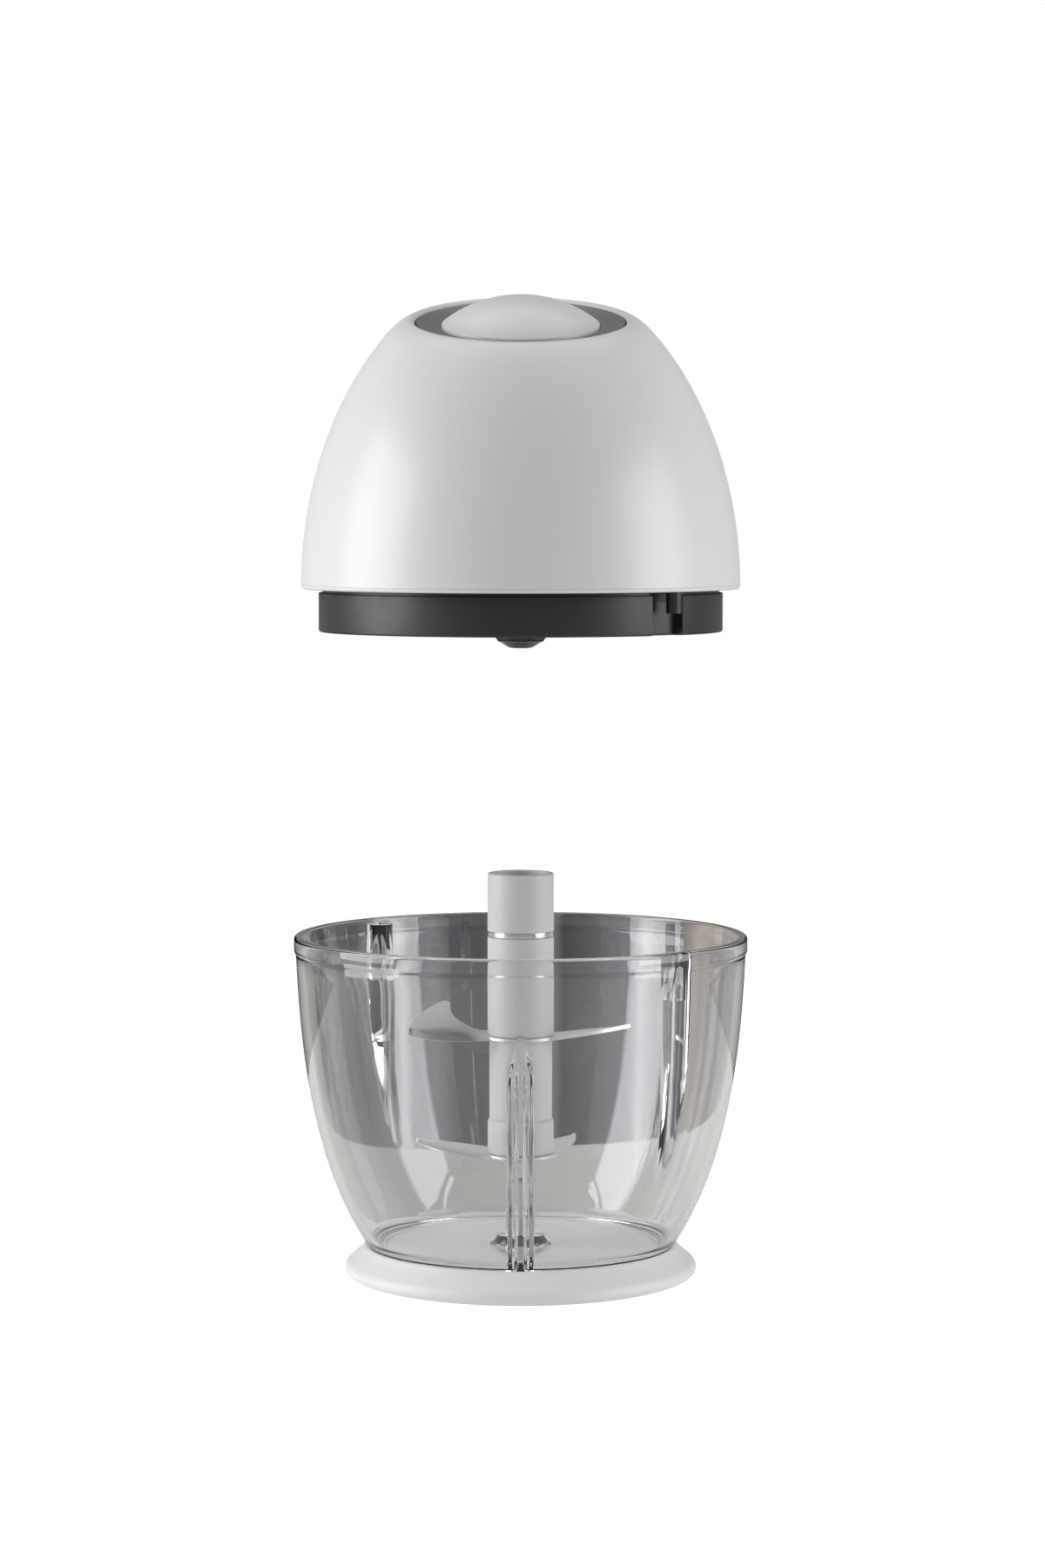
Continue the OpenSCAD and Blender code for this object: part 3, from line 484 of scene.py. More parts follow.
def bowl_shape(p):
    """Raises the front rib, its flute and the lock columns in the plain turned bowl."""
    radius, z = math.hypot(p.x, p.y), p.z
    if radius < 30 or z < 9.5:
        return p
    outer = outer_at(z) if z > wall_foot_z else bowl_foot
    inner_side = radius < outer - bowl_wall * 0.55 and z > wall_foot_z + 0.1
    turn = math.atan2(p.x, -p.y)
    across = radius * math.sin(turn)
    if p.y < 0 and abs(across) < 6:
        if inner_side:
            lift = rib_relief * rounded_edge(arch(z, rib_half, rib_top) - abs(across) + 0.1, 1.3)
            lift *= rounded_edge(rib_top - z, 12)
            share = min(1.0, max(0.0, (radius - 36) / 11))
            return p * ((radius - lift * share) / radius) + Vector((0, 0, z * lift * share / radius))
        if z > 12.4:
            sink = rib_relief * rounded_edge(arch(z, flute_half, rib_top - 6) - abs(across) + 0.1, 1.0)
            sink *= rounded_edge(rib_top - 6 - z, 16)
            return p * ((radius - sink) / radius) + Vector((0, 0, z * sink / radius))
        return p
    if inner_side and z <= column_top + 0.001 and radius > 50:
        for lock in column_turns:
            off = (math.degrees(turn) - lock + 180) % 360 - 180
            out = max(-1.0, min(1.0, (radius - column_at) / column_r))
            if out <= -1 or abs(off) > 20:
                continue
            half_turn = math.acos(-out)
            reach = math.degrees(math.asin(column_r * math.sin(half_turn) / radius))
            if out < 0:
                reach = math.degrees(math.asin(column_r / column_at))
                lateral = column_at * math.sin(math.radians(off))
                if abs(lateral) < column_r:
                    skin = column_at * math.cos(math.radians(off))
                    skin -= math.sqrt(column_r**2 - lateral**2)
                    if skin < radius:
                        return Vector((p.x * skin / radius, p.y * skin / radius, z))
                continue
            if abs(off) < reach:
                swing = off / reach * half_turn
                along = column_at - column_r * math.cos(swing)
                side = column_r * math.sin(swing)
                axis = math.radians(lock)
                return Vector(
                    (
                        along * math.sin(axis) + side * math.cos(axis),
                        -along * math.cos(axis) + side * math.sin(axis),
                        z,
                    )
                )
    return p


heights = [0, 0.03, 0.07, 0.12, 0.18, 0.25, 0.32, 0.4, 0.46, 0.5, 0.54, 0.57, 0.6, 0.62, 0.64]
heights += [0.66, 0.68, 0.7, 0.72, 0.76, 0.8, 0.85, 0.9, 0.95, 1.0]
rim = soften(
    [
        (bowl_rim, bowl_h - 5.6, 0),
        (bowl_rim + 0.3, bowl_h - 5.0, 0.4),
        (bowl_rim + 0.3, bowl_h, 1.3),
        (bowl_rim - bowl_wall, bowl_h, 0.9),
        (bowl_rim - bowl_wall - 0.05, bowl_h - 1.5, 0),
        (bowl_rim - bowl_wall - 0.06, bowl_h - 1.6, 0),
    ],
    6,
)
bowl_outline = [(0, bowl_under), (foot_step_r, bowl_under), (foot_step_r, foot_low), (bowl_foot, foot_low)]
bowl_outline += [tuple(wall_at(t, 0)) for t in heights if wall_at(t, 0).y < bowl_h - 5.8]
bowl_outline += [tuple(point) for point in rim]
bowl_outline += [
    tuple(wall_at(t, bowl_wall)) for t in reversed(heights) if wall_at(t, bowl_wall).y < bowl_h - 1.9
]
bowl_outline += [(46.2, bowl_floor + 0.2)] + [(r, bowl_floor) for r in (44.8, 44.2, 38, 30, 11.0, 10.2)]
bowl_outline += [(9.3, bowl_floor + 0.3), (7.9, boss_top - 0.3), (7.4, boss_top)]
bowl_outline += [(pin_hole_r, boss_top), (pin_hole_r, pin_seat), (0, pin_seat)]
# Sectors as degrees from, degrees to and steps, close together at the rib and at the two columns.
bowl_sectors = (
    (-95.5, -84.5, 44),
    (-84.5, -51.5, 13),
    (-51.5, -38.5, 52),
    (-38.5, 128.5, 67),
    (128.5, 141.5, 52),
    (141.5, 264.5, 49),
)
bowl = turned("clear_bowl_moulding", bowl_outline, bowl_sectors, bowl_shape, 40)


def cut(piece, cutter):
    """Takes a closed cutter away from a piece and removes the cutter."""
    change = piece.modifiers.new("cut", "BOOLEAN")
    change.operation = "DIFFERENCE"
    change.solver = "EXACT"
    change.object = cutter
    bpy.context.view_layer.update()
    seen_mesh = piece.evaluated_get(bpy.context.evaluated_depsgraph_get())
    piece.modifiers.clear()
    old = piece.data
    piece.data = bpy.data.meshes.new_from_object(seen_mesh)
    bpy.data.meshes.remove(old)
    bpy.data.objects.remove(cutter)


cups_bm = bmesh.new()
cup_deep = 14
for lock in column_turns:
    axis = math.radians(lock)
    middle_z = column_top + 2 - (cup_deep + 2) / 2
    seat = Vector((column_at * math.sin(axis), -column_at * math.cos(axis), middle_z)) * MM
    bmesh.ops.create_cone(
        cups_bm,
        cap_ends=True,
        segments=48,
        radius1=column_cup * MM,
        radius2=column_cup * MM,
        depth=(cup_deep + 2) * MM,
        matrix=Matrix.Translation(seat),
    )
cut(bowl, closed_mesh(cups_bm, "column_cups"))
clear_bowl, tree, shader, place = started(
    "clear_san_polished",
    Base_Color=linear("#F3F3F4"),
    Roughness=0.015,
    IOR=1.57,
    Transmission_Weight=1.0,
)
# The mould's polish leaves a very slight waviness, a few centimetres long, that bends reflections.
wave = add(tree, "ShaderNodeTexNoise", {"Scale": 1 / 0.025, "Detail": 1.0}, {"Vector": place})
bump = add(tree, "ShaderNodeBump", {"Strength": 0.01, "Distance": 0.0002}, {"Height": wave.outputs[0]})
tree.links.new(bump.outputs[0], shader.inputs["Normal"])
bowl.data.materials.clear()
bowl.data.materials.append(clear_bowl)
# Light goes straight through the thin clear wall to what is inside, so the bowl throws no shadow.
bowl.visible_shadow = bowl.visible_diffuse = False
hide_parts("bowl")
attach(bowl, "bowl_base")

# ---------------------------------------------------------------- Bowl pin
# The ground stainless pin that the blade unit turns on, pressed into the floor's boss, with its
# top edge chamfered to lead the bush on. It is turned steel, so its marks run round it.
pin_low, pin_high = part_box("bowl_pin")
pin_outline = soften(
    [
        (0, pin_low.z / MM, 0),
        (pin_high.x / MM, pin_low.z / MM, 0),
        (pin_high.x / MM, pin_high.z / MM - 1.2, 0.3),
        (pin_high.x / MM - 1.2, pin_high.z / MM, 0.3),
        (0, pin_high.z / MM, 0),
    ]
)
pin = turned("bowl_pin_ground", pin_outline, ((0, 360, 48),))
ground_steel, tree, shader, place = started(
    "stainless_steel_turned", Base_Color=linear("#C9C9C8"), Metallic=1.0, Roughness=0.2
)
# The grinding wheel's marks lie a quarter of a millimetre apart along the pin.
stretch = add(tree, "ShaderNodeMapping", {"Scale": (20, 20, 4000)}, {"Vector": place})
marks = add(tree, "ShaderNodeTexNoise", {"Scale": 1.0, "Detail": 3.0}, {"Vector": stretch.outputs[0]})
surfaced(tree, shader, marks, 0.08, 0.0001, marks, 0.14, 0.3)
pin.data.materials.append(ground_steel)
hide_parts("bowl_pin")
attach(pin, "bowl_base")

# The bush that runs on the pin is white acetal, slightly waxy, hidden in the tube's lower end.
acetal, tree, shader, place = started("white_acetal_moulded", Base_Color=linear("#E9E8E3"), Roughness=0.35)
mottle = add(tree, "ShaderNodeTexNoise", {"Scale": 1 / 0.004, "Detail": 3.0}, {"Vector": place})
sheen = add(
    tree,
    "ShaderNodeMapRange",
    {"From Min": 0.3, "From Max": 0.7, "To Min": 0.3, "To Max": 0.42},
    {"Value": mottle.outputs[0]},
)
tree.links.new(sheen.outputs[0], shader.inputs["Roughness"])
dress(acetal, "blade_bush", "output_bush", "ring_gear", "planet_gear_1", "planet_gear_2")
dress(acetal, "planet_gear_3")

# ---------------------------------------------------------------- Blade tube
# The upright hub of the blade unit: warm grey polypropylene moulded in pieces over a steel core, a
# plain collar under the lower blade, a spacer between the blades and a long sleeve on top. The
# sleeve's mouth is the socket for the drive spigot, with four small ribs to take the drive.
tube_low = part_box("hub_core")[0].z / MM
tube_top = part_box("hub_sleeve")[1].z / MM
tube_r, spacer_r, core_r, socket_r = 11.0, 10.4, 8.4, 9.0
upper_z, lower_z, blade_t, foot_top = tube_low + 40.2, tube_low + 0.8, 1.2, tube_low + 13.5
band_low, band_high, band_groove = tube_top - 21.3, tube_top - 19.3, 0.75
socket_low, socket_end = tube_top - 20, tube_top - 24
sleeve = turned(
    "hub_sleeve_moulding",
    soften(
        [
            (core_r, upper_z + blade_t, 0.1),
            (tube_r, upper_z + blade_t, 0.35),
            (tube_r, band_low, 0.15),
            (tube_r - band_groove, band_low, 0),
            (tube_r - band_groove, band_high, 0),
            (tube_r, band_high, 0.15),
            (tube_r, tube_top, 0.7),
            (socket_r, tube_top, 0.6),
            (socket_r, socket_low, 0),
            (core_r - 2, socket_low, 0),
            (core_r - 2, socket_end, 0),
            (core_r, socket_end, 0),
        ],
        5,
    ),
    ((0, 360, 96),),
)
def four_blocks(middle, size):
    """A bmesh of four equal blocks round the axis, given one's middle and size in millimetres."""
    bm = bmesh.new()
    for quarter in range(4):
        place = Matrix.Rotation(quarter * math.pi / 2, 4, "Z") @ Matrix.Translation(Vector(middle) * MM)
        stretched = Matrix.Diagonal([length * MM for length in size] + [1])
        bmesh.ops.create_cube(bm, size=1, matrix=place @ stretched)
    return bm


ribs_bm = four_blocks((socket_r - 0.25, 0, tube_top - 12), (1.3, 2, 16))
bmesh.ops.bevel(
    ribs_bm,
    geom=ribs_bm.edges[:],
    offset=0.2 * MM,
    affect="EDGES",
    segments=2,
    profile=0.5,
    material=-1,
)
ribs = closed_mesh(ribs_bm, "hub_sleeve_drive_ribs")
spacer = turned(
    "hub_spacer_moulding",
    soften(
        [
            (core_r, foot_top, 0.1),
            (spacer_r, foot_top, 0.2),
            (spacer_r, upper_z, 0.3),
            (core_r, upper_z, 0.1),
        ]
    ),
    ((0, 360, 96),),
)
foot = turned(
    "hub_collar_moulding",
    soften(
        [
            (core_r, lower_z + blade_t, 0.1),
            (tube_r, lower_z + blade_t, 0.5),
            (tube_r, foot_top - 1, 0.3),
            (spacer_r, foot_top, 0.3),
            (core_r, foot_top, 0.1),
        ]
    ),
    ((0, 360, 96),),
)
warm_grey, tree, shader, place = started(
    "warm_grey_polypropylene_matt", Base_Color=linear("#C9C8C7"), Roughness=0.5
)
# Flow of the melt leaves faint cloudy tone, a centimetre or so across.
clouds = add(tree, "ShaderNodeTexNoise", {"Scale": 1 / 0.012, "Detail": 3.0}, {"Vector": place})
tone = add(
    tree,
    "ShaderNodeMix",
    {"A": linear("#C5C4C3"), "B": linear("#CBCAC9")},
    {"Factor": clouds.outputs[0]},
    data_type="RGBA",
)
tree.links.new(tone.outputs["Result"], shader.inputs["Base Color"])
# The tool's matt texture, half a millimetre across, takes the shine off.
grain = add(tree, "ShaderNodeTexNoise", {"Scale": 1 / 0.0005, "Detail": 2.0}, {"Vector": place})
bump = add(tree, "ShaderNodeBump", {"Strength": 0.08, "Distance": 0.0002}, {"Height": grain.outputs[0]})
tree.links.new(bump.outputs[0], shader.inputs["Normal"])
for piece, node in ((sleeve, "hub_sleeve"), (spacer, "hub_spacer"), (foot, "hub_collar")):
    piece.data.materials.append(warm_grey)
    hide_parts(node)
    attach(piece, "blades")
ribs.data.materials.append(warm_grey)
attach(ribs, "blades")
dress(warm_grey, "hub_core")

# The band is a ring of polished stainless strip sprung into a shallow groove near the tube's top.
band = turned(
    "hub_band_strip",
    soften(
        [
            (tube_r - band_groove, band_low + 0.05, 0),
            (tube_r - 0.3, band_low + 0.05, 0.15),
            (tube_r - 0.3, band_high - 0.05, 0.15),
            (tube_r - band_groove, band_high - 0.05, 0),
        ]
    ),
    ((0, 360, 96),),
)
band.data.materials.append(ground_steel)
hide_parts("hub_band")
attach(band, "blades")

# ---------------------------------------------------------------- Blades
# Two blades laser cut from 1.2 mm hardened stainless sheet, set in the moulded tube. Each has a flat
# ring round the tube and two curved arms, bent or twisted in a press, with one edge ground to a
# bevel. The upper one's left arm rises to a hook; the lower one's right arm has a stepped tip.
def curve(a, b, c, steps=10):
    """Points along a quadratic curve from a to c pulled towards b."""
    return [
        (1 - t) ** 2 * Vector(a) + 2 * t * (1 - t) * Vector(b) + t * t * Vector(c)
        for t in (i / steps for i in range(steps + 1))
    ]


def spread(points, count):
    """The same line with its points set at even distances along it."""
    gaps = [0.0]
    for a, b in zip(points, points[1:]):
        gaps.append(gaps[-1] + (b - a).length)
    line = []
    for k in range(count + 1):
        want = gaps[-1] * k / count
        i = max(j for j in range(len(gaps) - 1) if gaps[j] <= want + 1e-9)
        share = (want - gaps[i]) / max(1e-9, gaps[i + 1] - gaps[i])
        line.append(points[i].lerp(points[i + 1], min(1.0, share)))
    return line


arm_root, edge_t = 8.6, 0.14


def blade_arm(bm, front, back, place_point, ground, grind=3.4, steps=40):
    """One arm: sheet between two edges, one of them ground, each point placed by place_point."""
    one, other = spread(front, steps), spread(back, steps)
    rows = []
    for a, b in zip(one, other):
        width = max(0.05, (b - a).length)
        bevel = min(grind, width * 0.6)
        shares = [0.0, bevel * 0.5 / width, bevel / width]
        shares += [bevel / width + (1 - bevel / width) * k / 4 for k in (1, 2, 3)] + [1.0]
        thick = [edge_t, (edge_t + blade_t) / 2] + [blade_t] * 5
        loop = []
        for share, t in zip(shares, thick):
            point = a.lerp(b, share) if ground == "front" else b.lerp(a, share)
            loop.append(place_point(point, t))
        for share in reversed(shares):
            point = a.lerp(b, share) if ground == "front" else b.lerp(a, share)
            loop.append(place_point(point, 0.0))
        rows.append([bm.verts.new(v * MM) for v in loop])
    for near, far in zip(rows, rows[1:]):
        for i in range(len(near)):
            k = (i + 1) % len(near)
            bm.faces.new((near[i], near[k], far[k], far[i]))
    bm.faces.new(rows[0])
    bm.faces.new(reversed(rows[-1]))


def blade_ring(bm, z):
    """The blade's flat ring round the tube."""
    edge_r, worn = tube_r + 1.3, 0.15
    loop = [(edge_r - worn, 0), (edge_r, worn), (edge_r, blade_t - worn), (edge_r - worn, blade_t)]
    loop += [(core_r, blade_t), (core_r, 0)]
    steps = 72
    rows = []
    for k in range(steps):
        a = 2 * math.pi * k / steps
        points = [Vector((r * math.cos(a), r * math.sin(a), z + h)) for r, h in loop]
        rows.append([bm.verts.new(point * MM) for point in points])
    for near, far in zip(rows, rows[1:] + rows[:1]):
        for i in range(len(loop)):
            k = (i + 1) % len(loop)
            bm.faces.new((near[i], near[k], far[k], far[i]))


def turned_up(root, degrees, z, swing=0.0):
    """Places points of an arm that is bent up at its root and swung round the axis."""
    slope = math.radians(degrees)
    swing = math.radians(swing)

    def placed(point, t):
        past = max(0.0, abs(point.x) - root)
        inner = min(abs(point.x), root)
        x = math.copysign(inner + past * math.cos(slope) - t * math.sin(slope) * min(1, past), point.x)
        high = z + past * math.sin(slope) + t * math.cos(slope)
        return Vector(
            (
                x * math.cos(swing) - point.y * math.sin(swing),
                x * math.sin(swing) + point.y * math.cos(swing),
                high,
            )
        )

    return placed


def hooked(point, t):
    """Places points of the upper left arm, twisted up about its front edge."""
    share = min(1.0, max(0.0, (abs(point.x) - 9.5) / 10.0))
    pitch = math.radians(7 + 20 * share * share * (3 - 2 * share))
    depth = point.y + 8
    return Vector(
        (
            point.x,
            -8 + depth * math.cos(pitch) - t * math.sin(pitch),
            upper_z + depth * math.sin(pitch) + t * math.cos(pitch),
        )
    )


upper_bm = bmesh.new()
blade_ring(upper_bm, upper_z)
blade_arm(
    upper_bm,
    curve((arm_root, -8), (26, -5), (36.9, 5)),
    curve((arm_root, 7), (24, 8), (36.9, 5.3)),
    turned_up(10, 6, upper_z),
    "back",
)
blade_arm(
    upper_bm,
    curve((-arm_root, -8), (-10, -8), (-12, -8), 3) + curve((-12, -8), (-30, -9.5), (-37.6, -4.2), 12)[1:],
    curve((-arm_root, 4), (-13, -2.6), (-17, -0.6))
    + curve((-17, -0.6), (-24.5, 4.5), (-23.6, 12.6))[1:]
    + curve((-23.6, 12.6), (-24, 14.5), (-26.5, 13.8), 6)[1:]
    + curve((-26.5, 13.8), (-35.5, 6.5), (-37.7, -3.9), 12)[1:],
    hooked,
    "front",
    grind=3.0,
    steps=64,
)
upper = closed_mesh(upper_bm, "upper_blade_ground", 30)
lower_bm = bmesh.new()
blade_ring(lower_bm, lower_z)
blade_arm(
    lower_bm,
    curve((-arm_root, -10), (-30, -11), (-35.4, 3.5)),
    curve((-arm_root, 10), (-24, 9), (-35.4, 4)),
    turned_up(10, 9, lower_z),
    "front",
)
blade_arm(
    lower_bm,
    curve((arm_root, -8), (24, -8), (34, -1)) + [Vector((34.3, 0.2))],
    curve((arm_root, 7), (24, 6), (31.6, 2.2)) + [Vector((32.2, 0.4)), Vector((34.3, 0.6))],
    turned_up(10, 4, lower_z, 58),
    "back",
)
lower = closed_mesh(lower_bm, "lower_blade_ground", 30)
blade_steel, tree, shader, place = started(
    "stainless_sheet_linished", Base_Color=linear("#D2D3D4"), Metallic=1.0, Roughness=0.3
)
# The sheet is linished along its length, which leaves fine straight lines about 0.15 mm apart.
stretch = add(tree, "ShaderNodeMapping", {"Scale": (120, 6500, 6500)}, {"Vector": place})
lines = add(tree, "ShaderNodeTexNoise", {"Scale": 1.0, "Detail": 4.0}, {"Vector": stretch.outputs[0]})
surfaced(tree, shader, lines, 0.12, 0.0001, lines, 0.26, 0.38)
for piece, node in ((upper, "upper_blade"), (lower, "lower_blade")):
    piece.data.materials.append(blade_steel)
    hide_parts(node)
    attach(piece, "blades")

# ---------------------------------------------------------------- Motor head: dome
# The head's cover is a leaning dome injection moulded in gloss white ABS, 2.4 mm thick. Its sections
# are round and lean further back the higher they are, up to a soft lip round the sloping button
# well. It is turned plain and then each point is leaned by the rule of its height.
head_z = 228.7
dome_r, dome_tall, dome_wall, ring_h, ring_r, lean = 72.5, 105.0, 2.4, 88.5, 34.9, 14.0


def dome_at(h):
    """Radius of the dome's section at a height over its lower edge."""
    return dome_r * math.sqrt(1 - (h / dome_tall) ** 2)


def leaned(p):
    """Leans a point of the plain turned dome back with the section it lies in."""
    h = min(ring_h, max(0.0, p.z - head_z))
    slope = math.radians(lean * math.asin(h / dome_tall) / math.asin(ring_h / dome_tall))
    return Vector((p.x, p.y * math.cos(slope), p.z + p.y * math.sin(slope)))


dome_steps = [math.sin(math.pi / 2 * k / 30) for k in range(31)]
top_h = ring_h - 4.4
skin = [(dome_at(1.6 + (top_h - 1.6) * s), 1.6 + (top_h - 1.6) * s) for s in dome_steps]
edge = [
    tuple(v)
    for v in soften([(dome_r - 3, 0, 0), (dome_r - 0.25, 0, 0.9), (dome_r - 0.05, 1.6, 0.4)], 6)
]
lip = curve(skin[-1], (ring_r + 5.1, ring_h - 0.9), (ring_r + 1.9, ring_h), 10)[1:]
lip += curve(lip[-1], (ring_r, ring_h), (ring_r, ring_h - 1.6), 6)[1:]
inside = [(dome_at(h) - dome_wall, h) for h in [ring_h - 6.4 - (ring_h - 6.4) * k / 24 for k in range(25)]]
inside = [point for point in inside if point[0] > ring_r + 1]
dome_outline = [(x, head_z + h) for x, h in [(dome_r - dome_wall, 0)] + edge[1:-1] + skin]
dome_outline += [(v.x, head_z + v.y) for v in lip] + [(ring_r, head_z + ring_h - 3.2)]
dome_outline += [(x, head_z + h) for x, h in inside[:-1]]
dome = turned("dome_cover_moulding", dome_outline, ((0, 360, 180),), leaned, 40)
gloss_white, tree, shader, place = started(
    "white_abs_gloss", Base_Color=linear("#DEDEDF"), Roughness=0.3
)
# Sink and flow over the moulding's ribs make its gloss vary slowly, over nearly three centimetres.
flow = add(tree, "ShaderNodeTexNoise", {"Scale": 1 / 0.028, "Detail": 1.0}, {"Vector": place})
sheen = add(
    tree,
    "ShaderNodeMapRange",
    {"From Min": 0.0, "From Max": 1.0, "To Min": 0.285, "To Max": 0.33},
    {"Value": flow.outputs[0]},
)
tree.links.new(sheen.outputs[0], shader.inputs["Roughness"])
# The polished tool leaves an orange peel of about 2 mm, so slight that it only softens highlights.
peel = add(tree, "ShaderNodeTexNoise", {"Scale": 1 / 0.002, "Detail": 2.0}, {"Vector": place})
bump = add(tree, "ShaderNodeBump", {"Strength": 0.01, "Distance": 0.0003}, {"Height": peel.outputs[0]})
tree.links.new(bump.outputs[0], shader.inputs["Normal"])
dome.data.materials.append(gloss_white)
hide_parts("dome_shell")
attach(dome, "head")

# ---------------------------------------------------------------- Motor head: collar
# The collar closes the head from below and drops inside the bowl's rim. It is moulded in dark grey
# glass-filled plastic with a satin skin, screwed up from below, and has two notches that let the
# bowl's lock columns in, each with a short peg over it.
collar_r, collar_h, collar_wall, notch_half, notch_r = 66.7, 14.0, 2.2, 7.0, 63.2
collar_low, groove_low, collar_inner = head_z - collar_h, head_z - 1.2, collar_r - collar_wall
notch_turn = math.degrees(math.asin(notch_half / collar_r))
collar_outline = soften(
    [
        (collar_inner, collar_low + 2.4, 0),
        (collar_inner, collar_low, 0.3),
        (collar_r, collar_low, 0.8),
        (collar_r, groove_low, 0.2),
        (collar_r - 1.2, groove_low, 0),
        (collar_r - 1.2, head_z - 0.1, 0),
        (dome_r - 4, head_z - 0.1, 0.1),
        (dome_r - 4, head_z + 2, 0),
        (collar_r - 1, head_z + 2, 0),
        (collar_inner, head_z + 2, 0),
    ],
    5,
)


def notched(p):
    """Pushes the collar's skin in to the flat back of a notch over each lock column."""
    radius = math.hypot(p.x, p.y)
    if p.z > head_z - 0.3 or radius < 50:
        return p
    turn = math.atan2(p.x, -p.y)
    for lock in column_turns:
        off = turn - math.radians(lock)
        off = (off + math.pi) % (2 * math.pi) - math.pi
        if abs(math.degrees(off)) <= notch_turn + 0.001:
            flat = notch_r / math.cos(off) - (collar_r - radius) * 0.9
            return Vector((p.x * flat / radius, p.y * flat / radius, p.z))
    return p


def sectors_with(turns, half, fine):
    """Sectors round the axis with a hair-thin step at both edges of a notch at each turn."""
    marks, hair = [], 0.02
    for middle in turns:
        marks += [middle - 90 - half, middle - 90 + half]
    result = []
    for low, high in zip(marks, marks[1:] + [marks[0] + 360]):
        result.append((low, low + hair, 1))
        result.append((low + hair, high - hair, max(1, round((high - low) / fine))))
        result.append((high - hair, high, 1))
    return result


collar_sectors = sectors_with(column_turns, notch_turn + 0.01, 2.0)
collar = turned("collar_moulding", collar_outline, collar_sectors, notched, 30)
dark_plastic, tree, shader, place = started(
    "dark_grey_polyamide_satin", Base_Color=linear("#1D1D1E"), Roughness=0.42
)
# Glass fibres near the skin give a fine grain, and the melt's flow a slow drift in the sheen.
grain = add(tree, "ShaderNodeTexNoise", {"Scale": 1 / 0.0006, "Detail": 3.0}, {"Vector": place})
streaks = add(tree, "ShaderNodeTexNoise", {"Scale": 1 / 0.015, "Detail": 2.0}, {"Vector": place})
surfaced(tree, shader, grain, 0.1, 0.0002, streaks, 0.38, 0.47)
collar.data.materials.append(dark_plastic)
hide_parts("collar")
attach(collar, "head")
dress(dark_plastic, "lock_pins", "base_plate", "switch_body", "switch_cradle", "brush_holders")
dress(dark_plastic, "button_clip")

# ---------------------------------------------------------------- Drive spigot
# The black splined spigot under the head that plugs into the tube's socket, moulded in tough
# polyamide over the end of the gearbox's output shaft, rounded at its nose to find the socket.
spigot_low, spigot_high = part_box("drive_spigot")
nose = spigot_low.z / MM
spigot_r = spigot_high.x / MM
spigot = turned(
    "drive_spigot_moulding",
    soften(
        [
            (0, nose, 0),
            (3.6, nose, 1.2),
            (6.9, nose + 2.1, 1.0),
            (7.5, nose + 2.3, 0.3),
            (spigot_r, nose + 3.7, 0.8),
            (spigot_r, spigot_high.z / MM, 0),
            (0, spigot_high.z / MM, 0),
        ],
        6,
    ),
    ((0, 360, 72),),
)
# Four grooves run up it for the socket's ribs, and are open at the nose.
grooves_bm = four_blocks((socket_r + 0.7, 0, nose + 10), (4, 2.6, 26))
cut(spigot, closed_mesh(grooves_bm, "drive_spigot_grooves"))
black_plastic, tree, shader, place = started(
    "black_polyamide_satin", Base_Color=linear("#161616"), Roughness=0.36
)
# Its grain, a little under a millimetre, is worn smoother than the collar's.
grain = add(tree, "ShaderNodeTexNoise", {"Scale": 1 / 0.0008, "Detail": 3.0}, {"Vector": place})
bump = add(tree, "ShaderNodeBump", {"Strength": 0.1, "Distance": 0.0002}, {"Height": grain.outputs[0]})
tree.links.new(bump.outputs[0], shader.inputs["Normal"])
spigot.data.materials.clear()
spigot.data.materials.append(black_plastic)
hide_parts("drive_spigot")
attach(spigot, "carrier")

# ---------------------------------------------------------------- Button well and button
# A silver-grey dished ring clipped into the dome's opening, painted satin, slopes down all round to
# the well in which the button works. The button is one gloss white ABS cap with a shallow crown,
# big enough to press with the palm. Both are turned flat and set on the leaning axis.
on_ring = Matrix.Translation(Vector((0, 0, head_z + ring_h))) @ Matrix.Rotation(
    math.radians(lean), 4, "X"
)


def on_the_ring(p):
    """Moves a point from the flat ring's own frame to the leaning one."""
    return on_ring @ p


button_r, crown = 26.1, 7.6
dish_r, dish_drop, dish_rise, well_r, well_floor = ring_r - 0.55, 2.4, 1.6, button_r + 0.5, -9.3
dish_curve = [
    (well_r + t * (dish_r - well_r), dish_rise * (1 - math.cos(math.pi / 2 * t)) - dish_drop)
    for t in (k / 14 for k in range(1, 14))
]
dish = turned(
    "button_well_moulding",
    soften([(0, well_floor, 0), (well_r, well_floor, 0.5), (well_r, -dish_drop, 0.3)], 5)
    + [Vector(point) for point in dish_curve]
    + soften(
        [
            (dish_r, dish_rise - dish_drop, 0.15),
            (dish_r, -dish_drop, 0),
            (well_r + 1.4, -4.4, 0.5),
            (well_r + 1.4, well_floor - 1.6, 0.5),
            (0, well_floor - 1.6, 0),
        ],
        4,
    ),
    ((0, 360, 144),),
    on_the_ring,
)
silver_paint, tree, shader, place = started(
    "silver_painted_abs_satin", Base_Color=linear("#77787A"), Metallic=0.85, Roughness=0.4
)
# Metal flake of a tenth of a millimetre, drawn at 0.3 mm to show, makes a very fine sparkle.
flake = add(tree, "ShaderNodeTexNoise", {"Scale": 1 / 0.0003, "Detail": 2.0}, {"Vector": place})
surfaced(tree, shader, flake, 0.05, 0.0001, flake, 0.34, 0.46)
dish.data.materials.append(silver_paint)
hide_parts("top_dish")
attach(dish, "head")

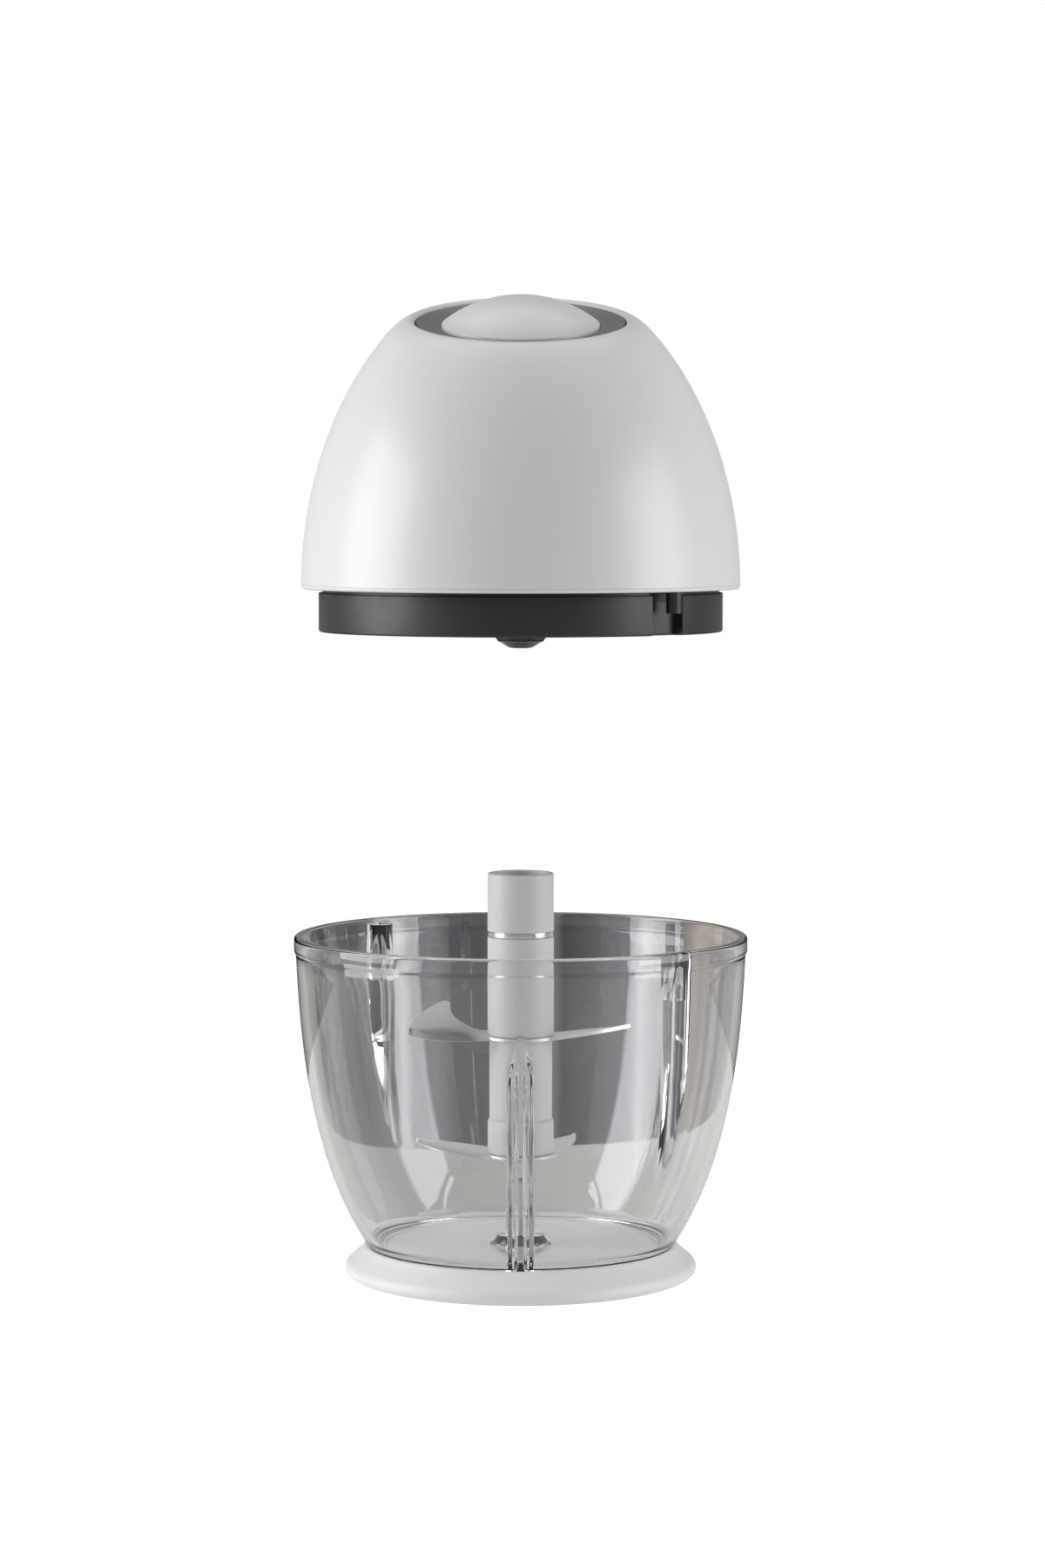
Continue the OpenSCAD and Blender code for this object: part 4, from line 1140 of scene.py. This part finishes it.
cap_wall, skirt_low, crown_rise = 2.2, -5.5, crown + 1.5
crown_ball = (button_r**2 + crown_rise**2) / (2 * crown_rise)
crown_turn = math.asin((button_r - 0.5) / crown_ball)
crown_curve = [
    Vector((crown_ball * math.sin(a), crown - crown_ball * (1 - math.cos(a))))
    for a in (crown_turn * (1 - k / 28) for k in range(29))
]
crown_curve[-1].x = 0
under_ball = crown_ball - cap_wall
under_curve = [
    Vector((under_ball * math.sin(a), crown - cap_wall - under_ball * (1 - math.cos(a))))
    for a in (crown_turn * 0.93 * k / 14 for k in range(1, 15))
]
button_outline = [Vector((button_r - 2, skirt_low)), Vector((button_r - 0.2, skirt_low))]
button_outline += [Vector((button_r, skirt_low + 0.2))]
button_outline += curve((button_r, -2.4), (button_r, crown_curve[0].y - 0.2), crown_curve[0], 6)
button_outline += crown_curve[1:] + [Vector((0, crown - cap_wall))] + under_curve
button_outline += [Vector((button_r - 2, -3.4))]
button = turned("button_cap_moulding", button_outline, ((0, 360, 144),), on_the_ring, 40)
button.data.materials.append(gloss_white)
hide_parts("button_cap")
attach(button, "button")

# ---------------------------------------------------------------- Button spring
# A coil spring of zinc-plated steel wire stands in the middle of the well and pushes the button
# back up. It is wound from a bare wire 1 mm thick, with its ends left plain.
spring_r, wire_r, spring_turns, spring_steps = 4.7, 0.5, 5, 36
spring_top, press = crown - 3.1, 3.0
coil_bm = bmesh.new()
bmesh.ops.create_circle(
    coil_bm,
    cap_ends=False,
    segments=12,
    radius=wire_r * MM,
    matrix=Matrix.Translation(Vector((spring_r, 0, well_floor + wire_r)) * MM)
    @ Matrix.Rotation(math.pi / 2, 4, "X"),
)
climb = (spring_top - well_floor - 2 * wire_r) * MM
bmesh.ops.spin(
    coil_bm,
    geom=coil_bm.verts[:] + coil_bm.edges[:],
    axis=(0, 0, 1),
    cent=(0, 0, 0),
    dvec=(0, 0, climb / (spring_turns * spring_steps)),
    angle=2 * math.pi * spring_turns,
    steps=spring_turns * spring_steps,
)
bmesh.ops.holes_fill(coil_bm, edges=[e for e in coil_bm.edges if e.is_boundary])
bmesh.ops.transform(
    coil_bm,
    matrix=Matrix.Translation(on_ring.translation * MM) @ on_ring.to_3x3().to_4x4(),
    verts=coil_bm.verts,
)
spring = closed_mesh(coil_bm, "button_spring_coil", 60)


def plain(name, colour, metallic, roughness, size, strength):
    """A simple material for a hidden piece, with a fine texture of a given size in metres."""
    material, tree, shader, place = started(
        name, Base_Color=linear(colour), Metallic=metallic, Roughness=roughness
    )
    noise = add(tree, "ShaderNodeTexNoise", {"Scale": 1 / size, "Detail": 3.0}, {"Vector": place})
    surfaced(tree, shader, noise, strength, 0.0002, noise, roughness - 0.06, roughness + 0.06)
    return material


# Bright zinc plate over drawn wire: a clean grey metal with a fine, slightly uneven shine.
zinc = plain("zinc_plated_steel", "#B4B6B8", 1.0, 0.3, 0.0008, 0.06)
spring.data.materials.append(zinc)
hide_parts("button_spring")
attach(spring, "head")
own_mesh(spring)

# ---------------------------------------------------------------- Cord gland
# A soft rubber bush through the back of the dome that grips the mains lead where it would enter,
# made in one piece with a flange on either side of the wall. The lead itself isn't made.
gland_z, gland_bore, gland_flange, gland_neck = head_z + 11, 3.3, 6.8, 5.0
gland_outline = soften(
    [
        (gland_bore, -6, 0.2),
        (gland_flange, -6, 0.3),
        (gland_flange, -4, 0.3),
        (gland_neck, -4, 0),
        (gland_neck, 0.6, 0),
        (7.0, 0.6, 0.3),
        (6.0, 2.5, 0.6),
        (gland_bore, 2.5, 0.4),
    ]
)
back = Matrix.Translation(Vector((0, dome_r, gland_z))) @ Matrix.Rotation(-math.pi / 2, 4, "X")
gland = turned("cord_gland_rubber", gland_outline, ((0, 360, 64),), lambda p: back @ p)
gland.data.materials.append(rubber)
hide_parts("cord_gland")
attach(gland, "head")

# ---------------------------------------------------------------- Motor and gearbox
# The pieces inside the closed head keep their own shapes: nylon gear cases, a universal motor with
# laminated steel, copper windings and carbon brushes, sintered bearings and steel screws.
dress(acetal, "gearbox_housing", "gearbox_cover", "planet_carrier")
# Zinc-plated pressed and turned steel: screws, shaft, pinion, brush springs and motor bracket.
dress(zinc, "case_screws", "gearbox_screws", "motor_screws", "motor_shaft")
dress(zinc, "sun_pinion", "motor_bracket", "brush_springs")
# Varnished electrical steel, stamped and stacked: the stator and the armature's core.
laminations = plain("laminated_steel_varnished", "#5A5854", 0.8, 0.45, 0.0005, 0.3)
dress(laminations, "motor_stator", "armature_core")
# Enamelled copper wire, wound and baked: the field coils and the armature's winding.
winding = plain("enamelled_copper_wire", "#B0622E", 0.9, 0.32, 0.0006, 0.4)
dress(winding, "field_coils", "armature_winding")
# Hard-drawn copper bars turned round: the commutator.
dress(plain("commutator_copper_turned", "#C07A45", 1.0, 0.25, 0.0007, 0.1), "commutator")
# Sintered bronze, oily and matt: the two shaft bearings.
dress(plain("sintered_bronze", "#A5854C", 1.0, 0.42, 0.0004, 0.2), "lower_bearing", "upper_bearing")
# Pressed electrographite: the brushes.
dress(plain("electrographite_pressed", "#2A2A2B", 0.0, 0.6, 0.0005, 0.2), "brushes")
# Glass-filled nylon: the cooling fan and the switch's red plunger.
dress(plain("black_nylon_moulded", "#1F2022", 0.0, 0.4, 0.0006, 0.1), "fan")
dress(plain("red_nylon_moulded", "#A32A22", 0.0, 0.4, 0.0006, 0.1), "switch_plunger")
